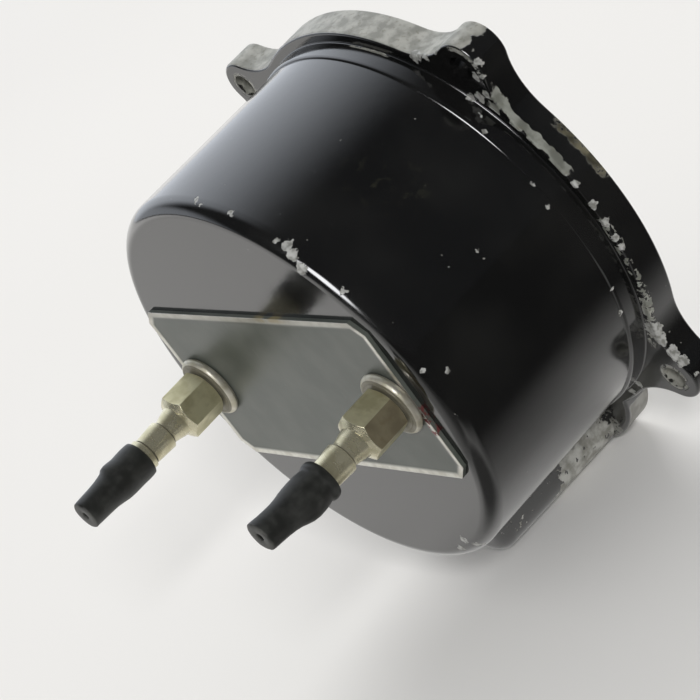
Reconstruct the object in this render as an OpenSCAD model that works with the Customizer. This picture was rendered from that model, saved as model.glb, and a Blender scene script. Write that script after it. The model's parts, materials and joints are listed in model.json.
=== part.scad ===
// Aircraft vertical speed indicator for a panel, seen complete with its works.
// Millimetres. The dial faces -Y, the hose fittings point to +Y and +Z is up.
// The origin is the centre of the flange's rear face, which lies on the panel.

/* [Case] */
// Radius of the cup-shaped body behind the panel
body_r = 39.5; // [38.5:0.1:42]
// Length of the body from the panel face to the flat back
body_len = 40.05; // [39:0.05:46]
// Wall of the body
body_wall = 2.5; // [1.5:0.1:3]
// Thickness of the flat back
back_t = 2.5; // [2:0.1:3.5]
// Radius of the rounding round the back
back_round = 2.8; // [1:0.1:4]
// Height of the collar that centres the body in the panel hole
collar_step = 0.4; // [0.2:0.1:1]
// Length of that collar
collar_len = 4; // [2:0.5:6]

/* [Flange] */
// How far the flange's rim stands out from the body
flange_lip = 2.4; // [2:0.1:4]
// Thickness of the flange
flange_t = 6.15; // [5.4:0.05:8]
// Chamfer on the front edge of the rim
flange_chamfer = 0.5; // [0.2:0.1:1]
// Distance of the mounting holes outside the rim
lug_offset = 4.1; // [3:0.1:6]
// Radius of a lug's round end
lug_r = 4.7; // [4:0.1:6]
// Radius of the hollow blends beside a lug
lug_blend = 12; // [6:0.5:16]
// Radius of a mounting hole
lug_hole_r = 2.2; // [1.6:0.05:2.6]
// Radius of the lobe that holds the zero screw
lobe_r = 14.5; // [13:0.5:17]
// How far the lobe stands out beyond the rim
lobe_reach = 7.1; // [6:0.1:9]

/* [Keel] */
// Radius of the keel where it leaves the flange
keel_front_r = 6.3; // [5.5:0.1:7]
// Radius of the keel at its rear end
keel_rear_r = 5.5; // [5:0.1:6.5]
// Distance of the keel's axis outside the body
keel_offset = 3.5; // [3:0.1:4.5]
// Length of the keel
keel_len = 30; // [27:0.5:34]
// Rounding of the keel's rear end
keel_round = 3; // [1:0.5:4]
// Radius of the bore for the zero spindle
channel_r = 3; // [2.7:0.1:3.4]

/* [Window] */
// Wall left outside the glass
seat_wall = 3; // [2.6:0.1:3.4]
// Thickness of the gasket
gasket_t = 0.6; // [0.4:0.1:1]
// Thickness of the glass
glass_t = 2; // [1.5:0.1:2.5]
// Thickness of the threaded ring
ring_t = 1.2; // [0.8:0.1:1.6]
// Depth of the ring's face below the rim
ring_recess = 0.15; // [0.1:0.05:0.4]
// Radial width of ring and gasket
ring_w = 2.6; // [2.2:0.1:4]
// Width of the ring's two spanner slots
ring_slot_w = 1.6; // [1:0.1:2.4]

/* [Nameplate] */
// How far the plate reaches beyond the hose fittings' axes
plate_side = 5.7; // [4.5:0.1:6.5]
// Height of the plate
plate_h = 32.7; // [28:0.1:36]
// Thickness of the plate
plate_t = 0.8; // [0.5:0.1:1.2]
// Cut on the plate's corners
plate_cut = 2.5; // [1:0.1:4]

/* [Fittings] */
// Distance of the hose fittings inside the body's radius
port_inset = 11.5; // [11:0.1:13]
// Radius of the threaded stem
stem_r = 3; // [2.5:0.1:3.1]
// Radius of the air bore
port_bore_r = 1.25; // [0.8:0.05:1.5]
// Radius of a washer
washer_r = 6.1; // [5.4:0.1:7]
// Thickness of a washer
washer_t = 1.4; // [1:0.1:2]
// Height of the relief under the hexagon
relief_t = 0.25; // [0.1:0.05:0.5]
// Radius of that relief
relief_r = 3.7; // [3.3:0.1:3.9]
// Hexagon across its flats
hex_af = 8; // [7.6:0.1:9]
// Length of the hexagon
hex_len = 6.75; // [5:0.05:9]
// Length of the cone that ends the hexagon
hex_cone = 0.9; // [0.5:0.1:1.2]
// Length of the cone that starts the hexagon
hex_bevel = 0.5; // [0.3:0.1:1]
// Radius of the neck at the hexagon
neck_r1 = 3.05; // [2.8:0.05:3.4]
// Radius of the neck at the first barb
neck_r2 = 2.4; // [2.1:0.05:2.6]
// Length of the tapered neck
neck_taper = 2.5; // [1.5:0.1:4]
// Length of the plain neck
neck_len = 0.75; // [0.5:0.05:2]
// Largest radius of the first barb
barb1_r = 2.85; // [2.7:0.05:3]
// Small radius of the first barb
barb1_end_r = 2.6; // [2.45:0.05:2.65]
// Length of the first barb
barb1_len = 4.2; // [3:0.1:6]
// Length of the groove between the barbs
barb_groove = 0.3; // [0.2:0.05:0.6]
// Largest radius of the second barb
barb2_r = 2.95; // [2.7:0.05:3]
// Radius at the tip
barb2_end_r = 2.3; // [2:0.05:2.5]
// Length of the second barb
barb2_len = 4.2; // [3:0.1:6]
// Length of a barb's steep shoulder
barb_shoulder = 0.15; // [0.1:0.05:0.4]
// Thickness of an inner nut
nut_t = 2; // [1.5:0.1:2.5]
// Inner nut across its flats
nut_af = 10; // [9:0.1:12]
// Turn of the static fitting's hexagon
static_hex_turn = 18; // [0:1:60]
// Turn of the vessel fitting's hexagon
vessel_hex_turn = 26; // [0:1:60]

/* [Rubber caps] */
// Length of a cap
cap_len = 14.2; // [12:0.1:17]
// Radius at the mouth
cap_mouth_r = 3.55; // [3.4:0.05:4]
// Radius at the closed end
cap_end_r = 2.65; // [2.2:0.05:3]
// How far the cap's middle swells
cap_bulge = 0.25; // [0.1:0.05:0.5]
// Depth of the wide bore that grips the barb
cap_grip = 4.6; // [4:0.1:6]
// Radius of the narrow bore beyond it
cap_inner_r = 1.4; // [1:0.1:1.7]
// Thickness of the closed end
cap_floor = 3.4; // [2:0.1:5]
// Radius of the dimple in the end
cap_dimple_r = 0.65; // [0.4:0.05:1]
// Depth of the dimple
cap_dimple = 1; // [0.5:0.1:1.5]
// Barb left showing under the static cap
static_cap_show = 1.1; // [0:0.1:2]
// Barb covered beyond the groove by the vessel cap
vessel_cap_cover = 0.2; // [0:0.1:1]

/* [Dial and pointer] */
// Thickness of the dial
dial_t = 0.8; // [0.5:0.1:1.2]
// Depth of the dial's face behind the panel plane
dial_depth = 1.2; // [1:0.1:1.8]
// Gap between the dial's edge and the case
dial_gap = 0.3; // [0.2:0.05:0.6]
// Radius of the hole in the dial
dial_hole_r = 2; // [1.5:0.1:3]
// Width of the two lugs that carry the dial
dial_lug_w = 8; // [6:0.5:12]
// Depth of those lugs
dial_lug_t = 2.5; // [2:0.1:3.5]
// How far those lugs reach inwards
dial_lug_in = 4.5; // [4:0.1:5]
// Shank radius of a dial screw
dial_screw_r = 0.8; // [0.6:0.05:1]
// Head radius of a dial screw
dial_head_r = 1.5; // [1.3:0.1:1.8]
// Head thickness of a dial screw
dial_head_t = 0.7; // [0.5:0.1:1]
// Length of the pointer from its axis to the tip
pointer_len = 27; // [22:0.5:32]
// Length of the pointer's tail
pointer_tail = 8; // [5:0.5:12]
// Widest half of the pointer
pointer_half_w = 1.3; // [0.8:0.1:2]
// Thickness of the pointer's blade
pointer_t = 0.4; // [0.3:0.05:0.6]
// Gap between dial and pointer
pointer_gap = 0.9; // [0.7:0.1:1.2]
// Radius of the pointer's hub
pointer_hub_r = 2; // [1.5:0.1:2.5]
// Length of the hub
pointer_hub_t = 1.2; // [0.8:0.1:1.4]

/* [Works] */
// Gap between the works and the case wall
works_gap = 6.5; // [5.5:0.1:8]
// Thickness of the brass plates
works_t = 1.4; // [1:0.1:1.6]
// Distance of the pillars inside the plates' edge
pillar_inset = 3.5; // [3:0.1:4.5]
// Radius of a pillar
pillar_r = 2; // [1.5:0.1:2.5]
// Height of the heads of the works' screws
screw_head_t = 1.1; // [0.8:0.1:1.4]
// Space between inner nuts and base plate for the pipe
pipe_space = 3; // [2.6:0.1:3.6]
// Radius of the pointer shaft
shaft_r = 0.6; // [0.45:0.05:0.8]
// Radius of the arbors and of the rocking shaft
arbor_r = 0.7; // [0.5:0.05:0.9]
// Running clearance of the shafts
run_gap = 0.05; // [0.02:0.01:0.08]
// Length of the posts under the bridge
bridge_post_len = 5; // [4.6:0.1:5.6]
// Radius of those posts
bridge_post_r = 1.6; // [1.2:0.1:2]
// Thickness of the bridge
bridge_t = 1.3; // [1:0.1:1.6]
// Half width of the bridge
bridge_half_w = 2; // [1.6:0.1:2.4]
// Distance of the bridge's far post from the pointer shaft
bridge_reach = 9.5; // [8.5:0.5:11]
// Distance of the bridge's side post from the sector's pivot
bridge_side = 8.8; // [8:0.1:10]

/* [Gears] */
// Tooth module
gear_m = 0.35; // [0.32:0.01:0.37]
// Leaves on the pinion
pinion_n = 12; // [10:1:14]
// Turns of the pinion for one turn of the sector
gear_ratio = 7; // [6:1:8]
// Teeth cut on the sector
sector_n = 13; // [11:2:15]
// Thickness of the sector
sector_t = 1; // [0.8:0.1:1.4]
// Gap between front plate and sector
sector_gap = 0.9; // [0.7:0.1:1.2]
// Length of the pinion beyond each face of the sector
pinion_over = 0.35; // [0.2:0.05:0.6]
// Width of the sector's rim
sector_rim = 1.7; // [1.2:0.1:2.4]
// Half width of the sector's spokes and tail
spoke_half_w = 0.6; // [0.5:0.1:0.9]
// Radius of the sector's hub
sector_hub_r = 2.2; // [1.8:0.1:2.6]

/* [Hairspring] */
// Turns of the hairspring
hair_turns = 5; // [3:1:6]
// Distance from turn to turn
hair_pitch = 0.9; // [0.75:0.05:1]
// Thickness of its strip
hair_t = 0.2; // [0.15:0.05:0.3]
// Width of its strip
hair_w = 0.6; // [0.4:0.1:0.9]
// Radius of the collet that holds its inner end
collet_r = 1.4; // [1.2:0.1:1.6]
// Length of the collet
collet_len = 1; // [0.9:0.1:1.2]

/* [Linkage] */
// Radius of the crank that the capsule turns
crank_len = 3; // [2.6:0.1:3.4]
// Distance of the rocking shaft in front of the middle plate
rock_gap = 3.2; // [3:0.1:3.8]
// Distance of the bridge in front of the rocking shaft
bridge_gap = 2.5; // [2.3:0.1:3]
// Swing of the rocking shaft to each side
rock_swing = 17; // [12:1:18]
// Swing of the sector to each side
sector_swing = 20; // [16:1:20]
// Radius of the crank pin and the tail pin
pin_r = 0.4; // [0.3:0.05:0.45]
// Half width of the fork's slot
fork_half_gap = 0.8; // [0.75:0.05:0.95]
// Thickness of a fork tine
tine_t = 0.7; // [0.5:0.1:0.9]
// Half height of crank, arm and brackets
arm_half_h = 0.7; // [0.5:0.1:0.9]
// Bore of the link's eye
eye_bore_r = 0.6; // [0.6:0.05:0.75]
// Outer radius of the link's eye
eye_r = 1.1; // [1:0.1:1.3]
// Radius of the link rod
link_r = 0.4; // [0.3:0.05:0.5]
// Height of the upper shaft bracket above the axis
bracket_top = 6.5; // [6:0.1:8]
// Depth of the lower shaft bracket below the axis
bracket_low = 25; // [24:0.5:27]

/* [Capsule] */
// Gap between the capsule's rim and the pillars
capsule_gap = 1; // [0.6:0.1:2]
// Half of the capsule's depth at its centre
capsule_half = 2.4; // [2:0.1:2.8]
// Half of its depth at the rim
capsule_rim_half = 0.7; // [0.6:0.05:0.9]
// Sheet of a capsule disc
capsule_sheet = 0.3; // [0.2:0.05:0.4]
// Waves pressed into a disc
capsule_waves = 5; // [3:1:6]
// Height of a wave to each side
capsule_wave = 0.2; // [0.1:0.05:0.25]
// Width of the flat brazed rim
capsule_flat = 1; // [0.6:0.1:1.6]
// Radius of the flat centre
capsule_centre_r = 5; // [4.5:0.1:6]
// Length of the rear boss
capsule_foot = 2; // [1.6:0.1:2.6]
// Gap between capsule and middle plate
capsule_clear = 2; // [1.6:0.1:2.6]
// Base radius of the moving boss
boss_r = 3; // [2.4:0.1:3.6]
// Base thickness of the moving boss
boss_t = 0.6; // [0.4:0.1:0.9]
// Stem radius of the moving boss
boss_stem_r = 1.1; // [0.8:0.1:1.4]

/* [Air passages] */
// Radius of the centre post's flange
post_flange_r = 5.5; // [5:0.1:6.5]
// Radius of the spigot on which the works turn
spigot_r = 3; // [2.6:0.1:3.4]
// Bore of the centre post
post_bore_r = 1; // [0.8:0.05:1.2]
// Radius of the pipe and of the capillary
pipe_r = 0.9; // [0.7:0.05:1]
// Bore of the pipe
pipe_bore_r = 0.5; // [0.3:0.05:0.6]
// Bore of the capillary
capillary_bore_r = 0.2; // [0.15:0.05:0.3]
// Free length of the capillary
capillary_len = 14; // [10:0.5:16]

/* [Zero adjustment] */
// Radius of the spindle
spindle_r = 1.4; // [1.2:0.05:1.6]
// Radius of its slotted head
spindle_head_r = 2.6; // [2.2:0.1:3]
// Thickness of the head
spindle_head_t = 1.4; // [1:0.1:1.8]
// Width of the screwdriver slot
spindle_slot_w = 0.7; // [0.5:0.05:1]
// Depth of the screwdriver slot
spindle_slot_d = 0.7; // [0.5:0.05:0.9]
// Length of the bush round the spindle
bush_len = 5; // [3:0.5:8]
// Radius at which the arm's pin sits
zero_arm = 9.7; // [9:0.1:10]
// Half width of the arm
zero_half_w = 1.1; // [0.9:0.1:1.3]
// Thickness of the arm
zero_t = 1.2; // [1:0.1:1.6]
// Radius of the arm's pin
zero_pin_r = 0.6; // [0.5:0.05:0.8]
// Half width of the middle plate's tongue, which takes the pin
tongue_half_w = 3.2; // [2.6:0.1:3.6]
// How far the tongue reaches beyond the pin
tongue_over = 2; // [1.6:0.1:2.4]
// Free depth of the spindle's bore behind the arm
channel_over = 1.5; // [1:0.1:2.5]

/* [Hidden] */

// General fit values
seat_gap = 0.15;
thread_gap = 0.03;
body_gap = 0.3;
cut_over = 1;
sink = 0.5;
slot_gap = 0.15;
boss_room = 2;
hair_gap = 0.1;
fork_space = 0.7;
fork_depth = 1.7;
eye_half_h = 0.5;
eye_gap = 0.15;
bridge_drop = 1;
hub_shoulder = 0.8;
pipe_socket = 1.5;
$fn = 96;
small_fn = 48;

// Tooth heights in modules, and half widths in shares of the pitch
tooth_top = 0.75;
tooth_foot = 1.1;
tip_share = 0.09;
flank_share = 0.18;
root_share = 0.28;

// Shares of a form's own length or width
taper_from = 0.3;
taper_over = 0.5;
pointer_wide_at = 0.72;
pointer_waist = 0.6;
pointer_end = 0.8;
eye_over = 1.25;
hub_over = 1.4;
spoke_at = 0.8;
rim_steps = 6;
hair_step = 12;

// Places along the axis, from the front to the panel plane
flange_r = body_r + flange_lip;
flange_y0 = -flange_t;
cavity_r = body_r - body_wall;
seat_r = flange_r - seat_wall;
ring_y0 = flange_y0 + ring_recess;
glass_y0 = ring_y0 + ring_t;
gasket_y0 = glass_y0 + glass_t;
seat_y = gasket_y0 + gasket_t;
dial_y0 = dial_depth;
dial_y1 = dial_y0 + dial_t;
dial_r = cavity_r - dial_gap;
pointer_y1 = dial_y0 - pointer_gap;
pointer_y0 = pointer_y1 - pointer_t;
hub_y0 = pointer_y0 - (pointer_hub_t - pointer_t) / 2;

// Places along the axis, from the back wall forwards
inside_y = body_len - back_t;
nut_y0 = inside_y - nut_t;
base_y1 = nut_y0 - pipe_space;
base_y0 = base_y1 - works_t;
capsule_y1 = base_y0 - capsule_foot;
capsule_mid = capsule_y1 - capsule_half;
capsule_y0 = capsule_mid - capsule_half;
middle_y1 = capsule_y0 - capsule_clear;
middle_y0 = middle_y1 - works_t;
rock_y = middle_y0 - rock_gap;
bridge_y1 = rock_y - bridge_gap;
bridge_y0 = bridge_y1 - bridge_t;
front_y1 = bridge_y0 - bridge_post_len;
front_y0 = front_y1 - works_t;
sector_y0 = front_y1 + sector_gap;
sector_y1 = sector_y0 + sector_t;
pipe_y = nut_y0 - pipe_space / 2;

// Radii and places of the works
works_r = cavity_r - works_gap;
pillar_c = works_r - pillar_inset;
works_screw_r = pillar_r / 2;
pillar_angles = [90, 210, 330];
capsule_r = pillar_c - pillar_r - capsule_gap;
pinion_r = gear_m * pinion_n / 2;
sector_r = pinion_r * gear_ratio;
addendum = tooth_top * gear_m;
dedendum = tooth_foot * gear_m;
centre_d = pinion_r + sector_r;
pivot_x = crank_len;
pivot_z = -sqrt(centre_d * centre_d - pivot_x * pivot_x);
mesh_angle = atan2(-pivot_z, -pivot_x);
collet_y0 = sector_y1 + pinion_over + body_gap;
hair_y0 = collet_y0 + (collet_len - hair_w) / 2;
hair_r0 = collet_r + hair_gap;
hair_r1 = hair_r0 + hair_turns * hair_pitch;
hair_end = 60;

// The forked arm and the sector's tail sweep the same distance sideways
fork_y = sector_y1 + fork_space + fork_depth / 2;
fork_arm = rock_y - fork_y;
tail_len = fork_arm * sin(rock_swing) / sin(sector_swing);
tail_z = pivot_z - tail_len;
crank_z1 = -eye_half_h - eye_gap;
crank_z0 = crank_z1 - 2 * arm_half_h;

// The link and the capsule's corrugated discs
link_y1 = middle_y0 + sink;
wave_r = capsule_r - capsule_flat;
disc_steps = 8 * capsule_waves;
disc_radii = [
    for (i = [0:disc_steps]) capsule_centre_r + (wave_r - capsule_centre_r) * i / disc_steps
];

// The ports, measured back from the flat back
port_x = body_r - port_inset;
plate_w = 2 * (port_x + plate_side);
plate_y1 = body_len + plate_t;
washer_y1 = plate_y1 + washer_t;
hex_y0 = washer_y1 + relief_t;
hex_y1 = hex_y0 + hex_len;
hex_corner_r = hex_af / 2 / cos(30);
hex_slope = hex_cone / (hex_corner_r - neck_r1);
hex_wide_r = 1.2 * hex_corner_r;
neck_y0 = hex_y1 + hex_cone;
neck_y1 = neck_y0 + neck_taper;
barb1_y0 = neck_y1 + neck_len;
barb1_y1 = barb1_y0 + barb_shoulder + barb1_len;
barb2_y0 = barb1_y1 + barb_groove;
barb2_y1 = barb2_y0 + barb_shoulder + barb2_len;
cap_bore_r = barb2_r + run_gap;

// The zero adjustment in lobe and keel
keel_z = body_r + keel_offset;
lobe_z = flange_r + lobe_reach - lobe_r;
head_y0 = flange_y0 + ring_recess;
bush_y0 = head_y0 + spindle_head_t + body_gap;
zero_y0 = middle_y1 + body_gap;
zero_y1 = zero_y0 + zero_t;
zero_pin_z = -keel_z + zero_arm;
tongue_z = -zero_pin_z + zero_pin_r + tongue_over;
channel_y1 = zero_y1 + channel_over;

echo(str("hairspring: least gap between turns ", hair_pitch - hair_t, " mm"));
echo(str("fork arm ", fork_arm, " tail ", tail_len, " front plate at ", front_y0));
echo(str("zero pin at z ", zero_pin_z, " crank travel ", crank_len * sin(rock_swing)));

// An outline in X and Z, drawn out between two depths
module slab(y0, y1) {
    translate([0, y1, 0]) rotate([90, 0, 0]) linear_extrude(y1 - y0) children();
}

// A round bar along the axis at a place in X and Z
module bar(y0, y1, r, x = 0, z = 0) {
    translate([x, y1, z]) rotate([90, 0, 0]) cylinder(r = r, h = y1 - y0);
}

// A profile of [radius, depth] turned about the axis
module turned(x = 0, z = 0) {
    translate([x, 0, z]) rotate([-90, 0, 0]) rotate_extrude() children();
}

// A ring between two depths and two radii
module ring(y0, y1, r, bore, x = 0, z = 0) {
    difference() {
        bar(y0, y1, r, x, z);
        bar(y0 - cut_over, y1 + cut_over, bore, x, z);
    }
}

module at_pillars() {
    for (a = pillar_angles) translate([pillar_c * cos(a), 0, pillar_c * sin(a)]) children();
}

// One lug with its two hollow blends, pointing along +X
module lug_outline() {
    reach = flange_r + lug_offset;
    rim_side = flange_r + lug_blend;
    lug_side = lug_r + lug_blend;
    turn = acos((rim_side * rim_side + reach * reach - lug_side * lug_side) / (2 * rim_side * reach));
    translate([reach, 0]) circle(lug_r);
    for (s = [-1, 1]) {
        blend = rim_side * [cos(turn), s * sin(turn)];
        difference() {
            polygon([[0, 0], [reach, 0], blend]);
            translate(blend) circle(lug_blend);
        }
    }
}

module flange_outline() {
    circle(flange_r);
    for (a = [45:90:315]) rotate(a) lug_outline();
    translate([0, -lobe_z]) circle(lobe_r);
}

// The cup's outside as a profile of radius and depth
module body_profile() {
    difference() {
        union() {
            square([body_r, body_len - back_round]);
            square([body_r - back_round, body_len]);
            translate([body_r - back_round, body_len - back_round]) circle(back_round, $fn = 64);
            square([body_r + collar_step, collar_len]);
        }
        translate([-2 * back_round, 0]) square([2 * back_round, body_len]);
    }
}

module keel() {
    keel_y1 = keel_len - keel_round;
    translate([0, 0, -keel_z]) rotate([-90, 0, 0]) {
        translate([0, 0, -sink]) cylinder(r1 = keel_front_r, r2 = keel_rear_r, h = keel_y1 + sink);
        rotate_extrude() intersection() {
            union() {
                translate([keel_rear_r - keel_round, keel_y1]) circle(keel_round, $fn = small_fn);
                square([keel_rear_r - keel_round, keel_len]);
                square([keel_rear_r, keel_y1]);
            }
            square([keel_rear_r, keel_len]);
        }
    }
}

module dial_lugs() {
    slab(dial_y1, dial_y1 + dial_lug_t) intersection() {
        difference() {
            circle(cavity_r + sink);
            circle(cavity_r - dial_lug_in);
        }
        square([2 * body_r, dial_lug_w], center = true);
    }
}

module case() color([0.06, 0.06, 0.065]) difference() {
    union() {
        difference() {
            union() {
                intersection() {
                    slab(flange_y0, 0) flange_outline();
                    turned() polygon([
                        [0, flange_y0], [flange_r - flange_chamfer, flange_y0],
                        [flange_r, flange_y0 + flange_chamfer],
                        [flange_r + 2 * lobe_r, flange_y0 + flange_chamfer],
                        [flange_r + 2 * lobe_r, 0], [0, 0]
                    ]);
                }
                turned() body_profile();
                keel();
            }
            bar(seat_y - sink, inside_y, cavity_r);
        }
        dial_lugs();
    }
    bar(flange_y0 - cut_over, seat_y, seat_r);
    for (a = [45:90:315]) {
        reach = flange_r + lug_offset;
        bar(flange_y0 - cut_over, cut_over, lug_hole_r, reach * cos(a), reach * sin(a));
    }
    for (s = [-1, 1]) {
        bar(inside_y - cut_over, body_len + cut_over, stem_r + seat_gap, s * port_x);
        bar(dial_y1 - cut_over, dial_y1 + dial_lug_t + cut_over, dial_screw_r + thread_gap,
            s * (cavity_r - dial_lug_in / 2));
    }
    bar(bush_y0, channel_y1, channel_r, 0, -keel_z);
    bar(flange_y0 - cut_over, bush_y0 + cut_over, spindle_head_r + body_gap, 0, -keel_z);
    translate([-channel_r, zero_y0 - 2 * body_gap, -keel_z])
        cube([2 * channel_r, zero_t + 4 * body_gap, keel_z - cavity_r + cut_over]);
}

module nameplate() color([0.3, 0.31, 0.29]) slab(body_len, plate_y1) difference() {
    polygon([
        [plate_w / 2, plate_h / 2 - plate_cut], [plate_w / 2 - plate_cut, plate_h / 2],
        [plate_cut - plate_w / 2, plate_h / 2], [-plate_w / 2, plate_h / 2 - plate_cut],
        [-plate_w / 2, plate_cut - plate_h / 2], [plate_cut - plate_w / 2, -plate_h / 2],
        [plate_w / 2 - plate_cut, -plate_h / 2], [plate_w / 2, plate_cut - plate_h / 2]
    ]);
    for (s = [-1, 1]) translate([s * port_x, 0]) circle(stem_r + seat_gap);
}

module washer(x) color([0.66, 0.63, 0.53]) difference() {
    turned(x) {
        translate([0, plate_y1]) square([washer_r - washer_t / 2, washer_t]);
        translate([washer_r - washer_t / 2, plate_y1 + washer_t / 2])
            circle(washer_t / 2, $fn = small_fn);
    }
    bar(plate_y1 - cut_over, washer_y1 + cut_over, stem_r + seat_gap, x);
}

// Hose fitting: threaded stem, hexagon, tapered neck and two barbs on one bore
module nozzle(x, turn) color([0.66, 0.63, 0.53]) difference() {
    union() {
        bar(nut_y0, hex_y0, stem_r, x);
        bar(washer_y1, hex_y0, relief_r, x);
        intersection() {
            slab(hex_y0, neck_y0) translate([x, 0]) rotate(turn) circle(hex_corner_r, $fn = 6);
            turned(x) polygon([
                [0, hex_y0], [relief_r, hex_y0], [hex_wide_r, hex_y0 + hex_bevel],
                [hex_wide_r, hex_y1 - hex_slope * (hex_wide_r - hex_corner_r)],
                [neck_r1, neck_y0], [0, neck_y0]
            ]);
        }
        turned(x) polygon([
            [0, neck_y0], [neck_r1, neck_y0], [neck_r2, neck_y1], [neck_r2, barb1_y0],
            [barb1_r, barb1_y0 + barb_shoulder], [barb1_end_r, barb1_y1], [neck_r2, barb1_y1],
            [neck_r2, barb2_y0], [barb2_r, barb2_y0 + barb_shoulder], [barb2_end_r, barb2_y1],
            [0, barb2_y1]
        ]);
    }
    bar(nut_y0 - cut_over, barb2_y1 + cut_over, port_bore_r, x);
}

module port_nut(x) color([0.7, 0.58, 0.3]) slab(nut_y0, inside_y) translate([x, 0]) difference() {
    circle(nut_af / 2 / cos(30), $fn = 6);
    circle(stem_r + thread_gap);
}

function smooth(t) = t <= 0 ? 0 : t >= 1 ? 1 : t * t * (3 - 2 * t);
function cap_r(t) = cap_end_r + cap_bulge * pow(sin(180 * t), 2)
    + (cap_mouth_r - cap_end_r) * (1 - smooth((t - taper_from) / taper_over));

module cap(x, y0) color([0.14, 0.14, 0.13]) turned(x) polygon(concat(
    [[cap_bore_r, y0]],
    [for (t = [0:1 / 16:1]) [cap_r(t), y0 + t * cap_len]],
    [
        [cap_dimple_r, y0 + cap_len], [cap_dimple_r, y0 + cap_len - cap_dimple],
        [0, y0 + cap_len - cap_dimple], [0, y0 + cap_len - cap_floor],
        [cap_inner_r, y0 + cap_len - cap_floor], [cap_inner_r, y0 + cap_grip], [cap_bore_r, y0 + cap_grip]
    ]
));

module glass() color([0.8, 0.9, 0.9, 0.4]) bar(glass_y0, gasket_y0, seat_r - seat_gap);

module glass_gasket() color([0.1, 0.1, 0.1]) ring(gasket_y0, seat_y, seat_r - seat_gap, seat_r - ring_w);

module glass_ring() color([0.08, 0.08, 0.08]) difference() {
    ring(ring_y0, glass_y0, seat_r - thread_gap, seat_r - ring_w);
    translate([-seat_r - cut_over, ring_y0 - cut_over, -ring_slot_w / 2])
        cube([2 * (seat_r + cut_over), cut_over + ring_t / 2, ring_slot_w]);
}

module dial() color([0.05, 0.05, 0.05]) slab(dial_y0, dial_y1) difference() {
    circle(dial_r);
    circle(dial_hole_r);
    for (s = [-1, 1]) translate([s * (cavity_r - dial_lug_in / 2), 0]) circle(dial_screw_r + thread_gap);
}

module dial_screws() color([0.7, 0.58, 0.3]) for (s = [-1, 1]) {
    x = s * (cavity_r - dial_lug_in / 2);
    bar(dial_y0 - sink, dial_y1 + dial_lug_t, dial_screw_r, x);
    difference() {
        bar(dial_y0 - dial_head_t, dial_y0, dial_head_r, x);
        translate([x - dial_head_r, dial_y0 - dial_head_t - cut_over, -dial_screw_r / 4])
            cube([2 * dial_head_r, cut_over + dial_head_t / 2, dial_screw_r / 2]);
    }
}

// The pointer lies at zero, towards 9 o'clock
module pointer() color([0.9, 0.9, 0.82]) difference() {
    union() {
        slab(pointer_y0, pointer_y1) polygon([
            [-pointer_len, 0], [-pointer_len * pointer_wide_at, pointer_half_w],
            [0, pointer_half_w * pointer_waist], [pointer_tail, pointer_half_w * pointer_end],
            [pointer_tail, -pointer_half_w * pointer_end], [0, -pointer_half_w * pointer_waist],
            [-pointer_len * pointer_wide_at, -pointer_half_w]
        ]);
        bar(hub_y0, hub_y0 + pointer_hub_t, pointer_hub_r);
    }
    bar(hub_y0 + pointer_t, hub_y0 + pointer_hub_t + cut_over, shaft_r + thread_gap);
}

// A gear outline: leaves from a first angle, each a short flank about the pitch circle
function tooth(r, n, a) = let (p = 360 / n) [
    [r - dedendum, a - root_share * p], [r, a - flank_share * p], [r + addendum, a - tip_share * p],
    [r + addendum, a + tip_share * p], [r, a + flank_share * p], [r - dedendum, a + root_share * p]
];
function polar(q) = [for (v = q) v[0] * [cos(v[1]), sin(v[1])]];

module pinion_outline() {
    polygon([
        for (i = [0:pinion_n - 1]) each
            polar(tooth(pinion_r, pinion_n, mesh_angle + 180 + (i + 0.5) * 360 / pinion_n))
    ]);
}

module pointer_shaft() color([0.75, 0.74, 0.7]) {
    bar(hub_y0 + pointer_t, bridge_y1 - run_gap, shaft_r);
    slab(sector_y0 - pinion_over, sector_y1 + pinion_over) pinion_outline();
}

module hairspring_collet() color([0.7, 0.58, 0.3])
    ring(collet_y0, collet_y0 + collet_len, collet_r, shaft_r + thread_gap);

function hair_point(t, side) = let (r = hair_r0 + hair_pitch * t / 360 + side * hair_t / 2)
    r * [cos(hair_end + t), sin(hair_end + t)];

module hairspring() color([0.45, 0.5, 0.6]) slab(hair_y0, hair_y0 + hair_w) polygon(concat(
    [for (t = [0:hair_step:360 * hair_turns]) hair_point(t, 1)],
    [for (t = [360 * hair_turns:-hair_step:0]) hair_point(t, -1)]
));

// A straight arm of the bridge that ends in a round eye wider than itself
module bridge_arm(from, to, half_w) {
    way = to - from;
    translate(from) rotate(atan2(way[1], way[0])) translate([0, -half_w])
        square([norm(way), 2 * half_w]);
    translate(to) circle(half_w * eye_over, $fn = small_fn);
}

module pointer_bridge() color([0.78, 0.66, 0.36]) {
    pivot = [pivot_x, pivot_z];
    far = bridge_reach * [cos(mesh_angle), sin(mesh_angle)];
    side = pivot - [bridge_side, bridge_drop];
    hair_stud = (hair_r1 + hair_t / 2 + pin_r) * [cos(hair_end), sin(hair_end)];
    slab(bridge_y0, bridge_y1) difference() {
        union() {
            translate(pivot) circle(bridge_half_w * hub_over, $fn = small_fn);
            bridge_arm(pivot, far, bridge_half_w);
            bridge_arm(pivot, side, bridge_half_w);
            bridge_arm([0, 0], hair_stud, bridge_half_w / 2);
        }
        circle(shaft_r + run_gap, $fn = small_fn);
        translate(pivot) circle(arbor_r + run_gap, $fn = small_fn);
    }
    bar(front_y1, bridge_y0 + sink, bridge_post_r, far[0], far[1]);
    bar(front_y1, bridge_y0 + sink, bridge_post_r, side[0], side[1]);
    bar(hair_y0, bridge_y0 + sink, pin_r, hair_stud[0], hair_stud[1]);
}

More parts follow.
